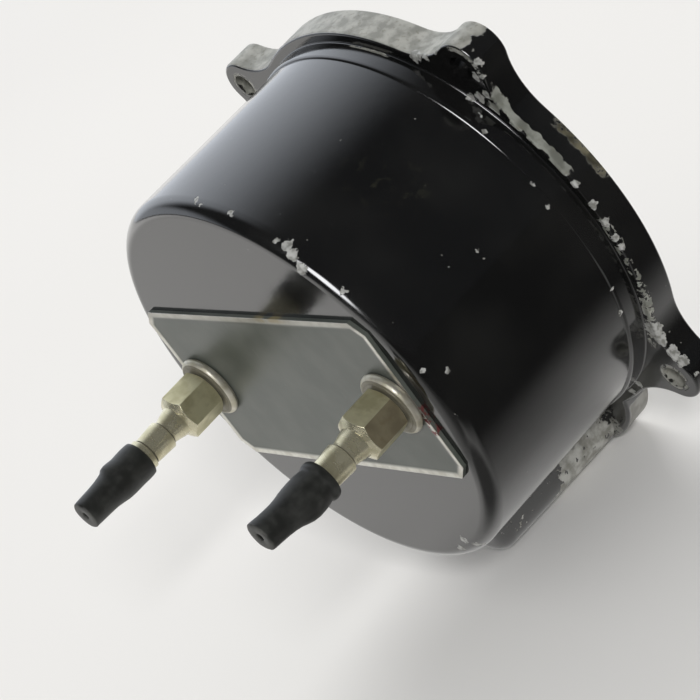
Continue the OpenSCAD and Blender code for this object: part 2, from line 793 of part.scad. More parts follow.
module sector_outline() {
    half = (sector_n - 1) / 2;
    whole = pinion_n * gear_ratio;
    inner = sector_r - dedendum - sector_rim;
    rim_turn = (half + 0.5) * 360 / whole;
    polygon(concat(
        [for (i = [-half:half]) each polar(tooth(sector_r, whole, i * 360 / whole))],
        polar([for (i = [rim_steps:-1:-rim_steps]) [inner, rim_turn * i / rim_steps]])
    ));
    for (s = [-1, 1]) rotate(s * rim_turn * spoke_at) translate([0, -spoke_half_w])
        square([inner + sector_rim / 2, 2 * spoke_half_w]);
}

module sector_gear() color([0.8, 0.68, 0.38]) {
    slab(sector_y0, sector_y1) translate([pivot_x, pivot_z]) {
        rotate(mesh_angle) sector_outline();
        circle(sector_hub_r, $fn = small_fn);
        translate([-spoke_half_w, -tail_len]) square([2 * spoke_half_w, tail_len]);
        translate([0, -tail_len]) circle(spoke_half_w + pin_r / 2, $fn = small_fn);
    }
    bar(front_y1 + body_gap, sector_y1 + body_gap, sector_hub_r - hub_shoulder, pivot_x, pivot_z);
    bar(front_y0, bridge_y1, arbor_r, pivot_x, pivot_z);
    bar(sector_y1 - sink / 2, fork_y + fork_depth / 2, pin_r, pivot_x, tail_z);
}

// The crank turns about Z, and the fork takes the sector's tail pin
module rocking_shaft() color([0.75, 0.74, 0.7]) {
    fork_w = 2 * (fork_half_gap + tine_t);
    fork_y0 = fork_y - fork_depth / 2;
    root_y = fork_y + fork_depth / 2 + body_gap;
    translate([pivot_x, rock_y, -bracket_low - arm_half_h])
        cylinder(r = arbor_r, h = bracket_low + bracket_top + 2 * arm_half_h, $fn = small_fn);
    translate([pivot_x, rock_y, crank_z0]) {
        cylinder(r = arbor_r + arm_half_h, h = 2 * arm_half_h, $fn = small_fn);
        translate([-crank_len, -arm_half_h, 0]) cube([crank_len, 2 * arm_half_h, 2 * arm_half_h]);
        translate([-crank_len, 0, 0]) {
            cylinder(r = arm_half_h, h = 2 * arm_half_h, $fn = small_fn);
            cylinder(r = pin_r, h = 2 * (arm_half_h + eye_half_h) + 2 * eye_gap, $fn = small_fn);
        }
    }
    translate([pivot_x, 0, tail_z - arm_half_h]) {
        translate([0, rock_y, 0])
            cylinder(r = arbor_r + arm_half_h, h = 2 * arm_half_h, $fn = small_fn);
        translate([-arm_half_h, root_y, 0]) cube([2 * arm_half_h, rock_y - root_y, 2 * arm_half_h]);
        translate([-fork_w / 2, root_y, 0]) cube([fork_w, 2 * arm_half_h, 2 * arm_half_h]);
        for (x = [-fork_w / 2, fork_half_gap])
            translate([x, fork_y0, 0]) cube([tine_t, root_y + arm_half_h - fork_y0, 2 * arm_half_h]);
    }
}

module shaft_brackets() color([0.78, 0.66, 0.36]) for (z = [bracket_top, -bracket_low]) {
    difference() {
        translate([pivot_x - 2 * arbor_r, rock_y - 2 * arbor_r, z - arm_half_h])
            cube([4 * arbor_r, middle_y0 - rock_y + 2 * arbor_r, 2 * arm_half_h]);
        translate([pivot_x, rock_y, z - arm_half_h - cut_over])
            cylinder(r = arbor_r + run_gap, h = 2 * (arm_half_h + cut_over), $fn = small_fn);
    }
}

module link_rod() color([0.75, 0.74, 0.7]) difference() {
    union() {
        translate([0, rock_y, -eye_half_h]) cylinder(r = eye_r, h = 2 * eye_half_h, $fn = small_fn);
        bar(rock_y + (eye_bore_r + eye_r) / 2, link_y1, link_r);
    }
    translate([0, rock_y, -eye_half_h - cut_over])
        cylinder(r = eye_bore_r, h = 2 * (eye_half_h + cut_over), $fn = small_fn);
}

module capsule_boss() color([0.75, 0.74, 0.7]) {
    bar(capsule_y0 - boss_t, capsule_y0, boss_r);
    bar(link_y1, capsule_y0 - boss_t / 2, boss_stem_r);
}

// Height of a disc above the capsule's middle plane at a radius
function disc_h(r) = let (t = (r - capsule_centre_r) / (wave_r - capsule_centre_r))
    capsule_half - (capsule_half - capsule_rim_half) * smooth(t)
    + capsule_wave * sin(360 * capsule_waves * t);

// One corrugated disc of the capsule: side is 1 for the rear disc, -1 for the front one
module capsule_disc(side, hole) turned() polygon(concat(
    [[hole, capsule_mid + side * capsule_half]],
    [for (r = disc_radii) [r, capsule_mid + side * disc_h(r)]],
    [[capsule_r, capsule_mid + side * capsule_rim_half], [capsule_r, capsule_mid]],
    [[wave_r, capsule_mid]],
    [
        for (i = [disc_steps:-1:0])
            [disc_radii[i], capsule_mid + side * (disc_h(disc_radii[i]) - capsule_sheet)]
    ],
    [[hole, capsule_mid + side * (capsule_half - capsule_sheet)]]
));

module capsule_front() color([0.8, 0.66, 0.4]) capsule_disc(-1, 0);

module capsule_rear() color([0.8, 0.66, 0.4]) {
    capsule_disc(1, post_bore_r);
    difference() {
        bar(capsule_y1 - capsule_sheet, base_y0, capsule_centre_r);
        bar(capsule_y1 - cut_over, base_y0 + cut_over, post_bore_r);
        bar(capsule_y1 + capsule_foot / 2, base_y0 + cut_over, spigot_r + body_gap);
    }
}

module works_plate(y0) slab(y0, y0 + works_t) difference() {
    circle(works_r);
    for (a = pillar_angles) rotate(a) translate([pillar_c, 0])
        circle(works_screw_r + thread_gap, $fn = small_fn);
    children();
}

module front_plate() color([0.78, 0.66, 0.36]) works_plate(front_y0) {
    circle(shaft_r + run_gap, $fn = small_fn);
    translate([pivot_x, pivot_z]) circle(arbor_r + run_gap, $fn = small_fn);
}

// The middle plate has a tongue with the slot for the zero arm's pin
module middle_plate() color([0.78, 0.66, 0.36]) {
    works_plate(middle_y0) circle(boss_stem_r + boss_room);
    slab(middle_y0, middle_y1) difference() {
        intersection() {
            translate([-tongue_half_w, -tongue_z])
                square([2 * tongue_half_w, tongue_z - works_r + sink]);
            circle(cavity_r - 3 * body_gap);
        }
        for (d = [-sink, sink])
            translate([0, zero_pin_z + d]) circle(zero_pin_r + slot_gap, $fn = small_fn);
        translate([-zero_pin_r - slot_gap, zero_pin_z - sink])
            square([2 * (zero_pin_r + slot_gap), 2 * sink]);
    }
}

module base_plate() color([0.78, 0.66, 0.36]) works_plate(base_y0) circle(spigot_r + run_gap);

module front_pillars() color([0.78, 0.66, 0.36]) at_pillars()
    ring(front_y1, middle_y0, pillar_r, works_screw_r + thread_gap);

module rear_pillars() color([0.78, 0.66, 0.36]) at_pillars()
    ring(middle_y1, base_y0, pillar_r, works_screw_r + thread_gap);

module cheese_screw(head_y, way) {
    slot_y = screw_head_t / 2;
    y0 = way > 0 ? head_y - screw_head_t : head_y;
    difference() {
        bar(y0, y0 + screw_head_t, pillar_r);
        translate([-pillar_r - cut_over, way > 0 ? y0 - cut_over : y0 + slot_y, -pillar_r / 6])
            cube([2 * (pillar_r + cut_over), cut_over + slot_y, pillar_r / 3]);
    }
}

module front_screws() color([0.72, 0.72, 0.7]) at_pillars() {
    cheese_screw(front_y0, 1);
    bar(front_y0, middle_y0 - body_gap, works_screw_r);
}

module rear_screws() color([0.72, 0.72, 0.7]) at_pillars() {
    cheese_screw(base_y1, -1);
    bar(middle_y0, base_y1, works_screw_r);
}

// Hollow post with side sockets for pipe and capillary
module centre_post() color([0.78, 0.66, 0.36]) {
    spigot_y0 = base_y0 - capsule_foot / 2 + body_gap;
    difference() {
        union() {
            bar(base_y1 + body_gap, inside_y, post_flange_r);
            bar(spigot_y0, inside_y - sink, spigot_r);
        }
        bar(spigot_y0 - cut_over, pipe_y + pipe_r, post_bore_r);
        translate([-post_flange_r - cut_over, pipe_y, 0]) rotate([0, 90, 0])
            cylinder(r = pipe_r + thread_gap, h = 2 * (post_flange_r + cut_over), $fn = small_fn);
    }
}

module pipe_section() difference() {
    circle(pipe_r, $fn = small_fn);
    circle(pipe_bore_r, $fn = small_fn);
}

module vessel_pipe() color([0.8, 0.5, 0.3]) translate([nut_y0 - pipe_y - port_x, 0, 0]) {
    bend = nut_y0 - pipe_y;
    translate([0, nut_y0, 0]) rotate([0, 0, 180]) rotate_extrude(angle = 90)
        translate([bend, 0]) pipe_section();
    translate([0, pipe_y, 0]) rotate([0, 90, 0])
        linear_extrude(port_x - bend - post_flange_r + pipe_socket) pipe_section();
}

module capillary() color([0.75, 0.85, 0.85]) {
    whole_len = capillary_len + pipe_socket;
    translate([post_flange_r - pipe_socket, pipe_y, 0]) rotate([0, 90, 0]) difference() {
        cylinder(r = pipe_r, h = whole_len, $fn = small_fn);
        translate([0, 0, -cut_over])
            cylinder(r = capillary_bore_r, h = whole_len + 2 * cut_over, $fn = small_fn);
    }
}

// Slotted zero screw, its spindle in the keel, and the arm that swings the works
module adjust_spindle() color([0.6, 0.58, 0.5]) translate([0, 0, -keel_z]) {
    difference() {
        bar(head_y0, head_y0 + spindle_head_t, spindle_head_r);
        translate([-spindle_head_r - cut_over, head_y0 - cut_over, -spindle_slot_w / 2])
            cube([2 * (spindle_head_r + cut_over), cut_over + spindle_slot_d, spindle_slot_w]);
    }
    bar(head_y0 + spindle_head_t - spindle_slot_d / 2, zero_y1 + body_gap, spindle_r);
    bar(zero_y0, zero_y1, spindle_r + zero_half_w / 2);
    slab(zero_y0, zero_y1) {
        translate([-zero_half_w, 0]) square([2 * zero_half_w, zero_arm]);
        translate([0, zero_arm]) circle(zero_half_w, $fn = small_fn);
    }
    bar(middle_y0, zero_y0 + zero_t / 2, zero_pin_r, 0, zero_arm);
}

module adjust_bush() color([0.7, 0.58, 0.3])
    ring(bush_y0, bush_y0 + bush_len, channel_r - thread_gap, spindle_r + run_gap, 0, -keel_z);

case();
nameplate();
washer(port_x);  // static_port_washer
washer(-port_x);  // vessel_port_washer
nozzle(port_x, static_hex_turn);  // static_port_nozzle
nozzle(-port_x, vessel_hex_turn);  // vessel_port_nozzle
port_nut(port_x);  // static_port_nut
port_nut(-port_x);  // vessel_port_nut
cap(port_x, barb2_y0 + static_cap_show);  // static_port_cap
cap(-port_x, barb2_y0 - vessel_cap_cover);  // vessel_port_cap
glass();
glass_gasket();
glass_ring();
dial();
dial_screws();
pointer();
pointer_shaft();
hairspring_collet();
hairspring();
pointer_bridge();
sector_gear();
rocking_shaft();
shaft_brackets();
link_rod();
capsule_boss();
capsule_front();
capsule_rear();
front_plate();
middle_plate();
base_plate();
front_pillars();
rear_pillars();
front_screws();
rear_screws();
centre_post();
vessel_pipe();
capillary();
adjust_spindle();
adjust_bush();
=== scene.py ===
# %% [markdown]
# # A vertical speed indicator, seen from the back
#
# The instrument is an aircraft variometer of the 1930s or 40s, with its dial turned away.
# What the photograph shows is a black lacquered casting with a lugged flange, a nameplate, and two
# plated hose fittings with rubber caps.
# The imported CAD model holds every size, so each piece here is built in the same frame: millimetres,
# +Y backwards towards the fittings and +Z up.

# %% Frame
import json
import math

import bpy
from mathutils import Matrix, Vector


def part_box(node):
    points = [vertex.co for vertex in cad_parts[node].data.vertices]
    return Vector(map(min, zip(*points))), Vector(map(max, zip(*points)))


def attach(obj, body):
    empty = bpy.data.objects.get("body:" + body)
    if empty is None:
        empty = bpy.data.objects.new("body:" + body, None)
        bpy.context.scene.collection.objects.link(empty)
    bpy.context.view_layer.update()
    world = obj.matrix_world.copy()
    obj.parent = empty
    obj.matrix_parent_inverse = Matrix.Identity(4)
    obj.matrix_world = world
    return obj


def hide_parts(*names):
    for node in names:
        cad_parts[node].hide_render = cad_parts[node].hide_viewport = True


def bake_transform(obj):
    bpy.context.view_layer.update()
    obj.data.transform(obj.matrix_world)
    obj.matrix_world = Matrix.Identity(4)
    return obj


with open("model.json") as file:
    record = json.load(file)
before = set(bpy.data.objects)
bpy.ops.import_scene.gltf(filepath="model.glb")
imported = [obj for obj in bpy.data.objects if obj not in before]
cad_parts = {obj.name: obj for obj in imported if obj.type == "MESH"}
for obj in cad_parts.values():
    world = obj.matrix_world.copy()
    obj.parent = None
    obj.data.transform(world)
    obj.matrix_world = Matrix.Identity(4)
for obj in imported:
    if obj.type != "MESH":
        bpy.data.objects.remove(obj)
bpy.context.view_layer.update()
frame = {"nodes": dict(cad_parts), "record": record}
MM = 0.001

# %% [markdown]
# ## Shared sizes
#
# These sizes are the CAD model's, in millimetres, and the shapes and the wear both use them.
# They are the body, the locating collar, the flange's rim with its four lugs and their hollow
# blends, the lobe and the spindle's axis at the foot, and the two ports.
# A lug's hole is REACH from the centre, so it is LUG_XY from both axes.

# %% Sizes
BODY_R, LENGTH, BACK_ROUND = 39.5, 40.05, 2.8
COLLAR_R, COLLAR_Y, FILLET = 39.9, 3.2, 0.35
FLANGE_Y, RIM_R, REACH, LUG_R, BLEND, LUG_XY = -6.15, 41.9, 46.0, 4.7, 12.0, 32.527
LUG_ANGLES = (45, 135, 225, 315)
LOBE_OUT, LOBE_R, SPINDLE_Z = 34.5, 14.5, -43.0
PORT_X, PORT_BORE_R = 28.0, 3.15
print("body", 2 * BODY_R, "mm wide and", LENGTH, "mm deep behind the flange")

# %% [markdown]
# ## Tools for the lesson
#
# Nearly every piece was turned on a lathe or punched from sheet, so two helpers do most of the work.
# `tower` extrudes a circle ring by ring along Y, as a lathe tool walks along its stock.
# `slab` sets a ring of vertices on an outline and extrudes it, as a punch does.
# Both end at the origin with nothing left in their transforms, because the frame asks for that.

# %% Modelling helpers
def edit(piece):
    """Makes one piece active and opens it for editing with everything picked."""
    bpy.ops.object.select_all(action="DESELECT")
    piece.select_set(True)
    bpy.context.view_layer.objects.active = piece
    bpy.ops.object.mode_set(mode="EDIT")
    bpy.ops.mesh.select_all(action="SELECT")


def settle(name=None, smooth=35):
    """Leaves edit mode with normals outside, applies the place and shades the piece."""
    piece = bpy.context.object
    if piece.mode != "EDIT":
        bpy.ops.object.mode_set(mode="EDIT")
    bpy.ops.mesh.select_all(action="SELECT")
    bpy.ops.mesh.normals_make_consistent(inside=False)
    bpy.ops.object.mode_set(mode="OBJECT")
    bpy.ops.object.transform_apply(location=True, rotation=True, scale=True)
    bpy.ops.object.shade_smooth_by_angle(angle=math.radians(smooth))
    if name:
        piece.name = piece.data.name = name
    return piece


def tower(name, rings, x=0.0, z=0.0, sides=96, smooth=35):
    """A lathe piece from (radius, y) rings. If the last ring is the first, it is a closed tube."""
    bpy.ops.object.select_all(action="DESELECT")
    bpy.ops.mesh.primitive_circle_add(
        vertices=sides, radius=rings[0][0] * MM, location=(x * MM, rings[0][1] * MM, z * MM),
        rotation=(math.pi / 2, 0, 0), enter_editmode=True)
    bpy.ops.mesh.select_all(action="SELECT")
    for (ra, ya), (rb, yb) in zip(rings, rings[1:]):
        bpy.ops.mesh.extrude_region_move(TRANSFORM_OT_translate={"value": (0, (yb - ya) * MM, 0)})
        bpy.ops.transform.resize(value=(rb / ra, 1, rb / ra),
                                 center_override=(x * MM, yb * MM, z * MM))
    bpy.ops.mesh.select_all(action="SELECT")
    if rings[0] == rings[-1]:
        bpy.ops.mesh.remove_doubles(threshold=1e-6)
    else:
        bpy.ops.mesh.fill_holes(sides=0)
    return settle(name, smooth)


def slab(name, outline, y0, y1, smooth=35):
    """A flat piece: a circle whose vertices are set on an outline of (x, z) points and then extruded."""
    bpy.ops.object.select_all(action="DESELECT")
    bpy.ops.mesh.primitive_circle_add(vertices=len(outline), radius=1, fill_type="NGON",
                                      location=(0, 0, 0))
    piece = bpy.context.object
    for vertex, (x, z) in zip(piece.data.vertices, outline):
        vertex.co = (x * MM, y0 * MM, z * MM)
    edit(piece)
    bpy.ops.mesh.extrude_region_move(TRANSFORM_OT_translate={"value": (0, (y1 - y0) * MM, 0)})
    bpy.ops.mesh.select_all(action="SELECT")
    bpy.ops.mesh.fill_holes(sides=0)
    return settle(name, smooth)


def arc(cx, cz, radius, start, end, steps):
    """Points of a circle's arc, by angles in degrees."""
    return [(cx + radius * math.cos(math.radians(start + (end - start) * i / steps)),
             cz + radius * math.sin(math.radians(start + (end - start) * i / steps)))
            for i in range(steps + 1)]


def carve(piece, tool, way="DIFFERENCE"):
    """Cuts or joins with another piece, which is used up."""
    bpy.ops.object.select_all(action="DESELECT")
    bpy.context.view_layer.objects.active = piece
    piece.select_set(True)
    cut = piece.modifiers.new("carve", "BOOLEAN")
    cut.object, cut.operation, cut.solver = tool, way, "EXACT"
    bpy.ops.object.modifier_apply(modifier="carve")
    bpy.data.objects.remove(tool)
    return piece


def soften(piece, width, angle=40, segments=3):
    """Rounds the sharp edges of a finished form."""
    bpy.ops.object.select_all(action="DESELECT")
    bpy.context.view_layer.objects.active = piece
    piece.select_set(True)
    bevel = piece.modifiers.new("bevel", "BEVEL")
    bevel.width, bevel.segments = width * MM, segments
    bevel.limit_method, bevel.angle_limit = "ANGLE", math.radians(angle)
    bevel.harden_normals = True
    bpy.ops.object.modifier_apply(modifier="bevel")
    return piece


def even(piece):
    """Lets large flat faces set their corners' shading, so that no bevel bends their mirror image."""
    bpy.ops.object.select_all(action="DESELECT")
    bpy.context.view_layer.objects.active = piece
    piece.select_set(True)
    weigh = piece.modifiers.new("weigh", "WEIGHTED_NORMAL")
    weigh.keep_sharp, weigh.weight = True, 100
    bpy.ops.object.modifier_apply(modifier="weigh")


def tell(piece):
    """Prints a piece's size, the check after every step of the lesson."""
    low = [min(v.co[i] for v in piece.data.vertices) * 1000 for i in range(3)]
    high = [max(v.co[i] for v in piece.data.vertices) * 1000 for i in range(3)]
    print(piece.name, len(piece.data.polygons), "faces, box in mm",
          [round(v, 2) for v in low], [round(v, 2) for v in high])

# %% [markdown]
# ## Shader sums
#
# A worn finish is a sum of small masks, so sockets get the operators of numbers.
# `node` makes any other node from the same place.

# %% Shader helper
class Field:
    """A shader socket that adds, multiplies and compares like a number."""

    def __init__(self, tree, socket):
        self.tree, self.socket = tree, socket

    def node(self, kind, out=0, inputs=(), **settings):
        """Makes a node. Inputs that are fields are linked, and the others are set."""
        made = self.tree.nodes.new(kind)
        for key, value in settings.items():
            setattr(made, key, value)
        for key, value in dict(inputs).items():
            if isinstance(value, Field):
                self.tree.links.new(value.socket, made.inputs[key])
            else:
                made.inputs[key].default_value = value
        return Field(self.tree, made.outputs[out])

    def math(self, operation, *others):
        return self.node("ShaderNodeMath", inputs=enumerate((self,) + others), operation=operation)

    def __add__(self, other):
        return self.math("ADD", other)

    def __sub__(self, other):
        return self.math("SUBTRACT", other)

    def __mul__(self, other):
        return self.math("MULTIPLY", other)

    def __rsub__(self, other):
        return self * -1.0 + other

    def __neg__(self):
        return self * -1.0

    __radd__ = __add__
    __rmul__ = __mul__

    def over(self, low, high):
        """0 below low, 1 above high and smooth between."""
        return self.node("ShaderNodeMapRange", inputs={"Value": self, "From Min": low, "From Max": high},
                         interpolation_type="SMOOTHSTEP")

    def near(self, place, half, soft):
        """1 within a band round a place, and 0 outside it."""
        return ((self - place).math("ABSOLUTE") - half).over(soft, 0.0)

    def most(self, other):
        return self.math("MAXIMUM", other)

    def least(self, other):
        return self.math("MINIMUM", other)

    def noise(self, scale, detail=2.0, out=0):
        return self.node("ShaderNodeTexNoise", out=out,
                         inputs={"Vector": self, "Scale": scale, "Detail": detail})

    def mix(self, a, b):
        """A colour between a and b by this mask."""
        return self.node("ShaderNodeMix", out=2, inputs={0: self, 6: a, 7: b}, data_type="RGBA")


def colour(r, g, b):
    return (r, g, b, 1.0)


def finish(name, **constants):
    """A new material, its shader with constants set, a place in millimetres and its coordinates."""
    material = bpy.data.materials.new(name)
    material.use_nodes = True
    tree = material.node_tree
    shader = tree.nodes["Principled BSDF"]
    for key, value in constants.items():
        shader.inputs[key.replace("_", " ")].default_value = value
    spot = tree.nodes.new("ShaderNodeTexCoord")
    place = Field(tree, spot.outputs["Object"])
    place = place.node("ShaderNodeVectorMath", inputs={0: place, "Scale": 1000.0}, operation="SCALE")
    split = tree.nodes.new("ShaderNodeSeparateXYZ")
    tree.links.new(place.socket, split.inputs[0])
    return material, shader, place, [Field(tree, split.outputs[i]) for i in range(3)]


def feed(shader, **sockets):
    """Links fields to the shader's inputs."""
    for key, value in sockets.items():
        value.tree.links.new(value.socket, shader.inputs[key.replace("_", " ")])


def bump(height, strength, distance):
    """A normal from a field of heights."""
    return height.node("ShaderNodeBump",
                       inputs={"Height": height, "Strength": strength, "Distance": distance})


def paint(piece, material):
    piece.data.materials.clear()
    piece.data.materials.append(material)


def hand_over(piece, material, body, *nodes, slot=None):
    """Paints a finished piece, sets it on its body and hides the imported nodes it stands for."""
    paint(piece, material)
    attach(piece, body)
    if nodes:
        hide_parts(*nodes)
    tell(piece)

# %% [markdown]
# ## Black lacquer over a grey casting
#
# The case is cast metal with stoved black lacquer, glossy enough to mirror the floor.
# It has lost its paint where hands and panels rubbed: on the flange's outer wall over the top, in a
# ragged strip along the flange's rear edge, round the holes, on the lobe, down the keel, in a scratch
# on the collar and in small chips there, on the flange and on the rounded back edge.
# One mask holds all of it.
# Angle, radius and depth bands say where paint may be gone, and noise says where it is gone.
# Single chips are balls round a point of the surface, and noise pushes them out of shape.

# %% Lacquer
lacquer, shader, place, (x, y, z) = finish("black_lacquer", IOR=2.0)
angle = (-x).math("ARCTAN2", z) * (180 / math.pi)
radius = (x * x + z * z).math("SQRT")
rag = place.noise(0.55, 5.0) - 0.5
fine = place.noise(2.2, 3.0) - 0.5
shaken = place.node("ShaderNodeVectorMath", operation="MULTIPLY_ADD",
                    inputs={0: place.noise(0.9, 4.0, out=1), 1: (1.8, 1.8, 1.8), 2: place})
shaken = shaken.node("ShaderNodeVectorMath", operation="SUBTRACT",
                     inputs={0: shaken, 1: (0.9, 0.9, 0.9)})


def chips(spots):
    """The deepest reach into any of some balls, each given as x, y, z and radius."""
    deepest = None
    for cx, cy, cz, size in spots:
        reach = size - shaken.node("ShaderNodeVectorMath", out=1, operation="DISTANCE",
                                   inputs={0: shaken, 1: (cx, cy, cz)})
        deepest = deepest.most(reach) if deepest else reach
    return deepest


on_wall = radius.over(41.2, 41.5)
lug_ring = ((x.math("ABSOLUTE") - LUG_XY) * (x.math("ABSOLUTE") - LUG_XY)
            + (z.math("ABSOLUTE") - LUG_XY) * (z.math("ABSOLUTE") - LUG_XY)).math("SQRT")
top_bare = (on_wall * y.over(-0.1, -0.3) * (angle + rag * 5.0).near(0.0, 45.0, 0.6)
            * lug_ring.over(2.5, 2.8))
strip = (on_wall * (y + rag * 2.6 + 0.75).near(0.0, 0.75, 0.1)
         * (angle + rag * 4.0).near(64.0, 11.0, 1.0))
blobs = place.noise(0.8, 3.0) - 0.5
dashes = (radius.over(40.4, 41.0) * (y + rag * 2.4 + 0.3).near(0.0, 0.6, 0.25)
          * (angle + rag * 6.0).near(105.0, 16.0, 2.0) * (blobs + fine * 0.3).over(0.03, 0.06))
root_wear = (radius.near(41.2, 0.6, 0.4) * y.near(0.0, 0.9, 0.3)
             * (angle + rag * 8.0).near(119.0, 8.0, 2.0)
             * (blobs + fine * 0.4 + rag * 0.3).over(-0.03, 0.01))
holes = (lug_ring.over(3.0, 2.5)
         * ((rag + blobs + fine * 0.3).over(-0.1, 0.0) + y.over(-0.5, -0.8)).least(1.0)
         * y.over(0.6, 0.3) * (z - x).over(60.0, 50.0))
keel_end = (y - 7.5).math("ABSOLUTE").over(4.0, 11.5) * 0.40
keel_wear = ((z + rag * 3.0).over(-41.2, -42.2) * x.near(0.0, 7.5, 0.5) * y.over(-0.5, 0.5)
             * (rag * 0.9 + blobs * 0.8 + fine * 0.25 - keel_end).over(-0.22, -0.16))
washer_mark = (lug_ring.near(3.9, 0.35, 0.15) * x.over(-32.3, -33.2) * z.over(30.0, 31.5)
               * y.near(0.0, 0.2, 0.2) * (fine + rag * 0.5).over(-0.08, 0.02))
lobe_wall = (z.over(-38.5, -39.5) * y.over(-0.6, -1.0) * radius.over(43.0, 43.6)
             * (rag + 0.3).over(0.0, 0.1))
edge_chips = chips([
    (-7.2, 37.9, 38.8, 0.6), (-8.9, 38.3, 38.2, 0.45), (-15.2, 38.2, 36.3, 0.55),
    (-23.9, 38.5, 31.1, 0.6), (-25.4, 38.3, 29.9, 0.9), (-26.4, 39.0, 28.6, 1.0),
    (-27.5, 39.9, 26.3, 1.15), (-32.9, 38.7, 21.1, 0.65), (-38.6, 38.9, 5.2, 0.5),
    (-39.4, 35.7, 2.5, 0.45), (-15.5, 40.0, -32.6, 1.0), (-17.7, 39.4, -34.0, 1.0),
    (-12.5, 39.8, -35.0, 0.8), (-37.7, 18.8, 11.8, 0.35), (-38.7, 3.9, -9.7, 0.45),
    (-37.0, 3.9, -14.8, 0.45), (-32.9, 3.1, 22.6, 0.4), (-31.6, 1.5, 24.3, 0.35),
    (-37.7, 4.0, 12.5, 0.4), (-38.6, 4.8, 8.4, 0.35), (-30.2, 0.0, 27.0, 0.9),
    (-32.4, 0.0, 26.8, 1.1), (-34.4, 0.0, 27.4, 0.9), (-36.9, -0.6, 33.2, 0.9),
    (-36.4, -0.2, 30.6, 0.6), (-22.6, 0.0, 35.5, 1.2), (-25.2, 0.0, 35.3, 0.8),
    (-28.4, -0.2, 36.6, 0.8), (-30.8, -0.3, 37.2, 0.7), (-41.0, -0.2, 8.7, 0.9),
    (-41.7, -0.3, 4.4, 0.75), (-41.8, -0.2, 0.7, 0.85), (-41.7, -0.2, -2.2, 0.75),
    (-41.6, -0.3, -4.4, 0.7), (-35.5, 0.0, -22.0, 1.7), (-35.4, 0.0, -24.2, 1.3),
    (-35.8, -0.6, -27.4, 1.3), (-36.3, -0.9, -29.4, 1.2), (-37.6, -0.6, -32.4, 0.8),
    (-21.4, 0.0, -34.9, 0.9), (-18.2, 0.0, -36.6, 0.8), (-23.6, 0.0, 35.9, 0.9),
    (-34.9, 0.0, 30.7, 0.8)
])
edge_chips = (edge_chips + fine * 0.7 + rag * 0.8).over(0.0, 0.1)
collar_scratch = (angle.near(18.0, 5.5, 1.5) * (y + rag * 0.5).near(0.45, 0.16, 0.12)
                  * radius.near(40.0, 0.4, 0.2) * (rag + fine * 0.6).over(-0.10, 0.0))
olive = (on_wall.most(radius.over(40.9, 41.2)) * (y + rag * 2.0).near(-5.6, 1.0, 0.4)
         * (angle + rag * 6.0).near(73.5, 7.0, 2.0) * (rag + fine * 0.8).over(-0.2, 0.0))
scuff = (40.0 - place.node("ShaderNodeVectorMath", out=1, operation="DISTANCE",
                         inputs={0: place, 1: (-29.0, 20.0, 26.5)})).over(30.0, 38.0)
flattened = place.node("ShaderNodeMapping", inputs={"Vector": place, "Scale": (1.0, 0.6, 1.0)})
scuff = scuff * flattened.noise(0.7, 5.0).over(0.56, 0.70)
specks = (place.noise(1.3, 1.0) - 0.80).over(0.0, 0.02)
bare = top_bare.most(strip).most(dashes).most(root_wear).most(holes).most(keel_wear)
bare = bare.most(lobe_wall).most(washer_mark).most(collar_scratch * 0.8)
bare = bare.most(edge_chips).most(olive * 0.85).most(specks * 0.5)
mottle = place.noise(0.45, 5.0).over(0.35, 0.65)
metal = mottle.mix(colour(0.235, 0.235, 0.205), colour(0.41, 0.405, 0.365))
metal = strip.most(dashes).mix(metal, mottle.mix(colour(0.15, 0.155, 0.13), colour(0.29, 0.30, 0.265)))
metal = (place.noise(1.4, 4.0).over(0.55, 0.70) * 0.45).mix(metal, colour(0.13, 0.12, 0.08))
crumbs = place.noise(1.3, 3.0).over(0.36, 0.6)
metal = edge_chips.mix(metal, crumbs.mix(colour(0.20, 0.20, 0.18), colour(0.44, 0.44, 0.42)))
metal = olive.mix(metal, mottle.mix(colour(0.05, 0.045, 0.025), colour(0.20, 0.18, 0.11)))
metal = lobe_wall.mix(metal, mottle.mix(colour(0.20, 0.195, 0.175), colour(0.30, 0.295, 0.27)))
metal = (keel_wear * 0.8).mix(metal, mottle.mix(colour(0.22, 0.215, 0.185), colour(0.52, 0.52, 0.49)))
haze = place.noise(0.06, 3.0).over(0.35, 0.75)
black = haze.mix(colour(0.0035, 0.0035, 0.0035), colour(0.008, 0.008, 0.0075))
feed(shader,
     Base_Color=bare.mix((scuff * 0.32).mix(black, colour(0.035, 0.035, 0.022)), metal),
     Roughness=bare * 0.42 + haze * 0.07 + 0.10,
     Metallic=bare * 0.25,
     Normal=bump(rag * 0.10 - bare, 0.55, 0.00018))

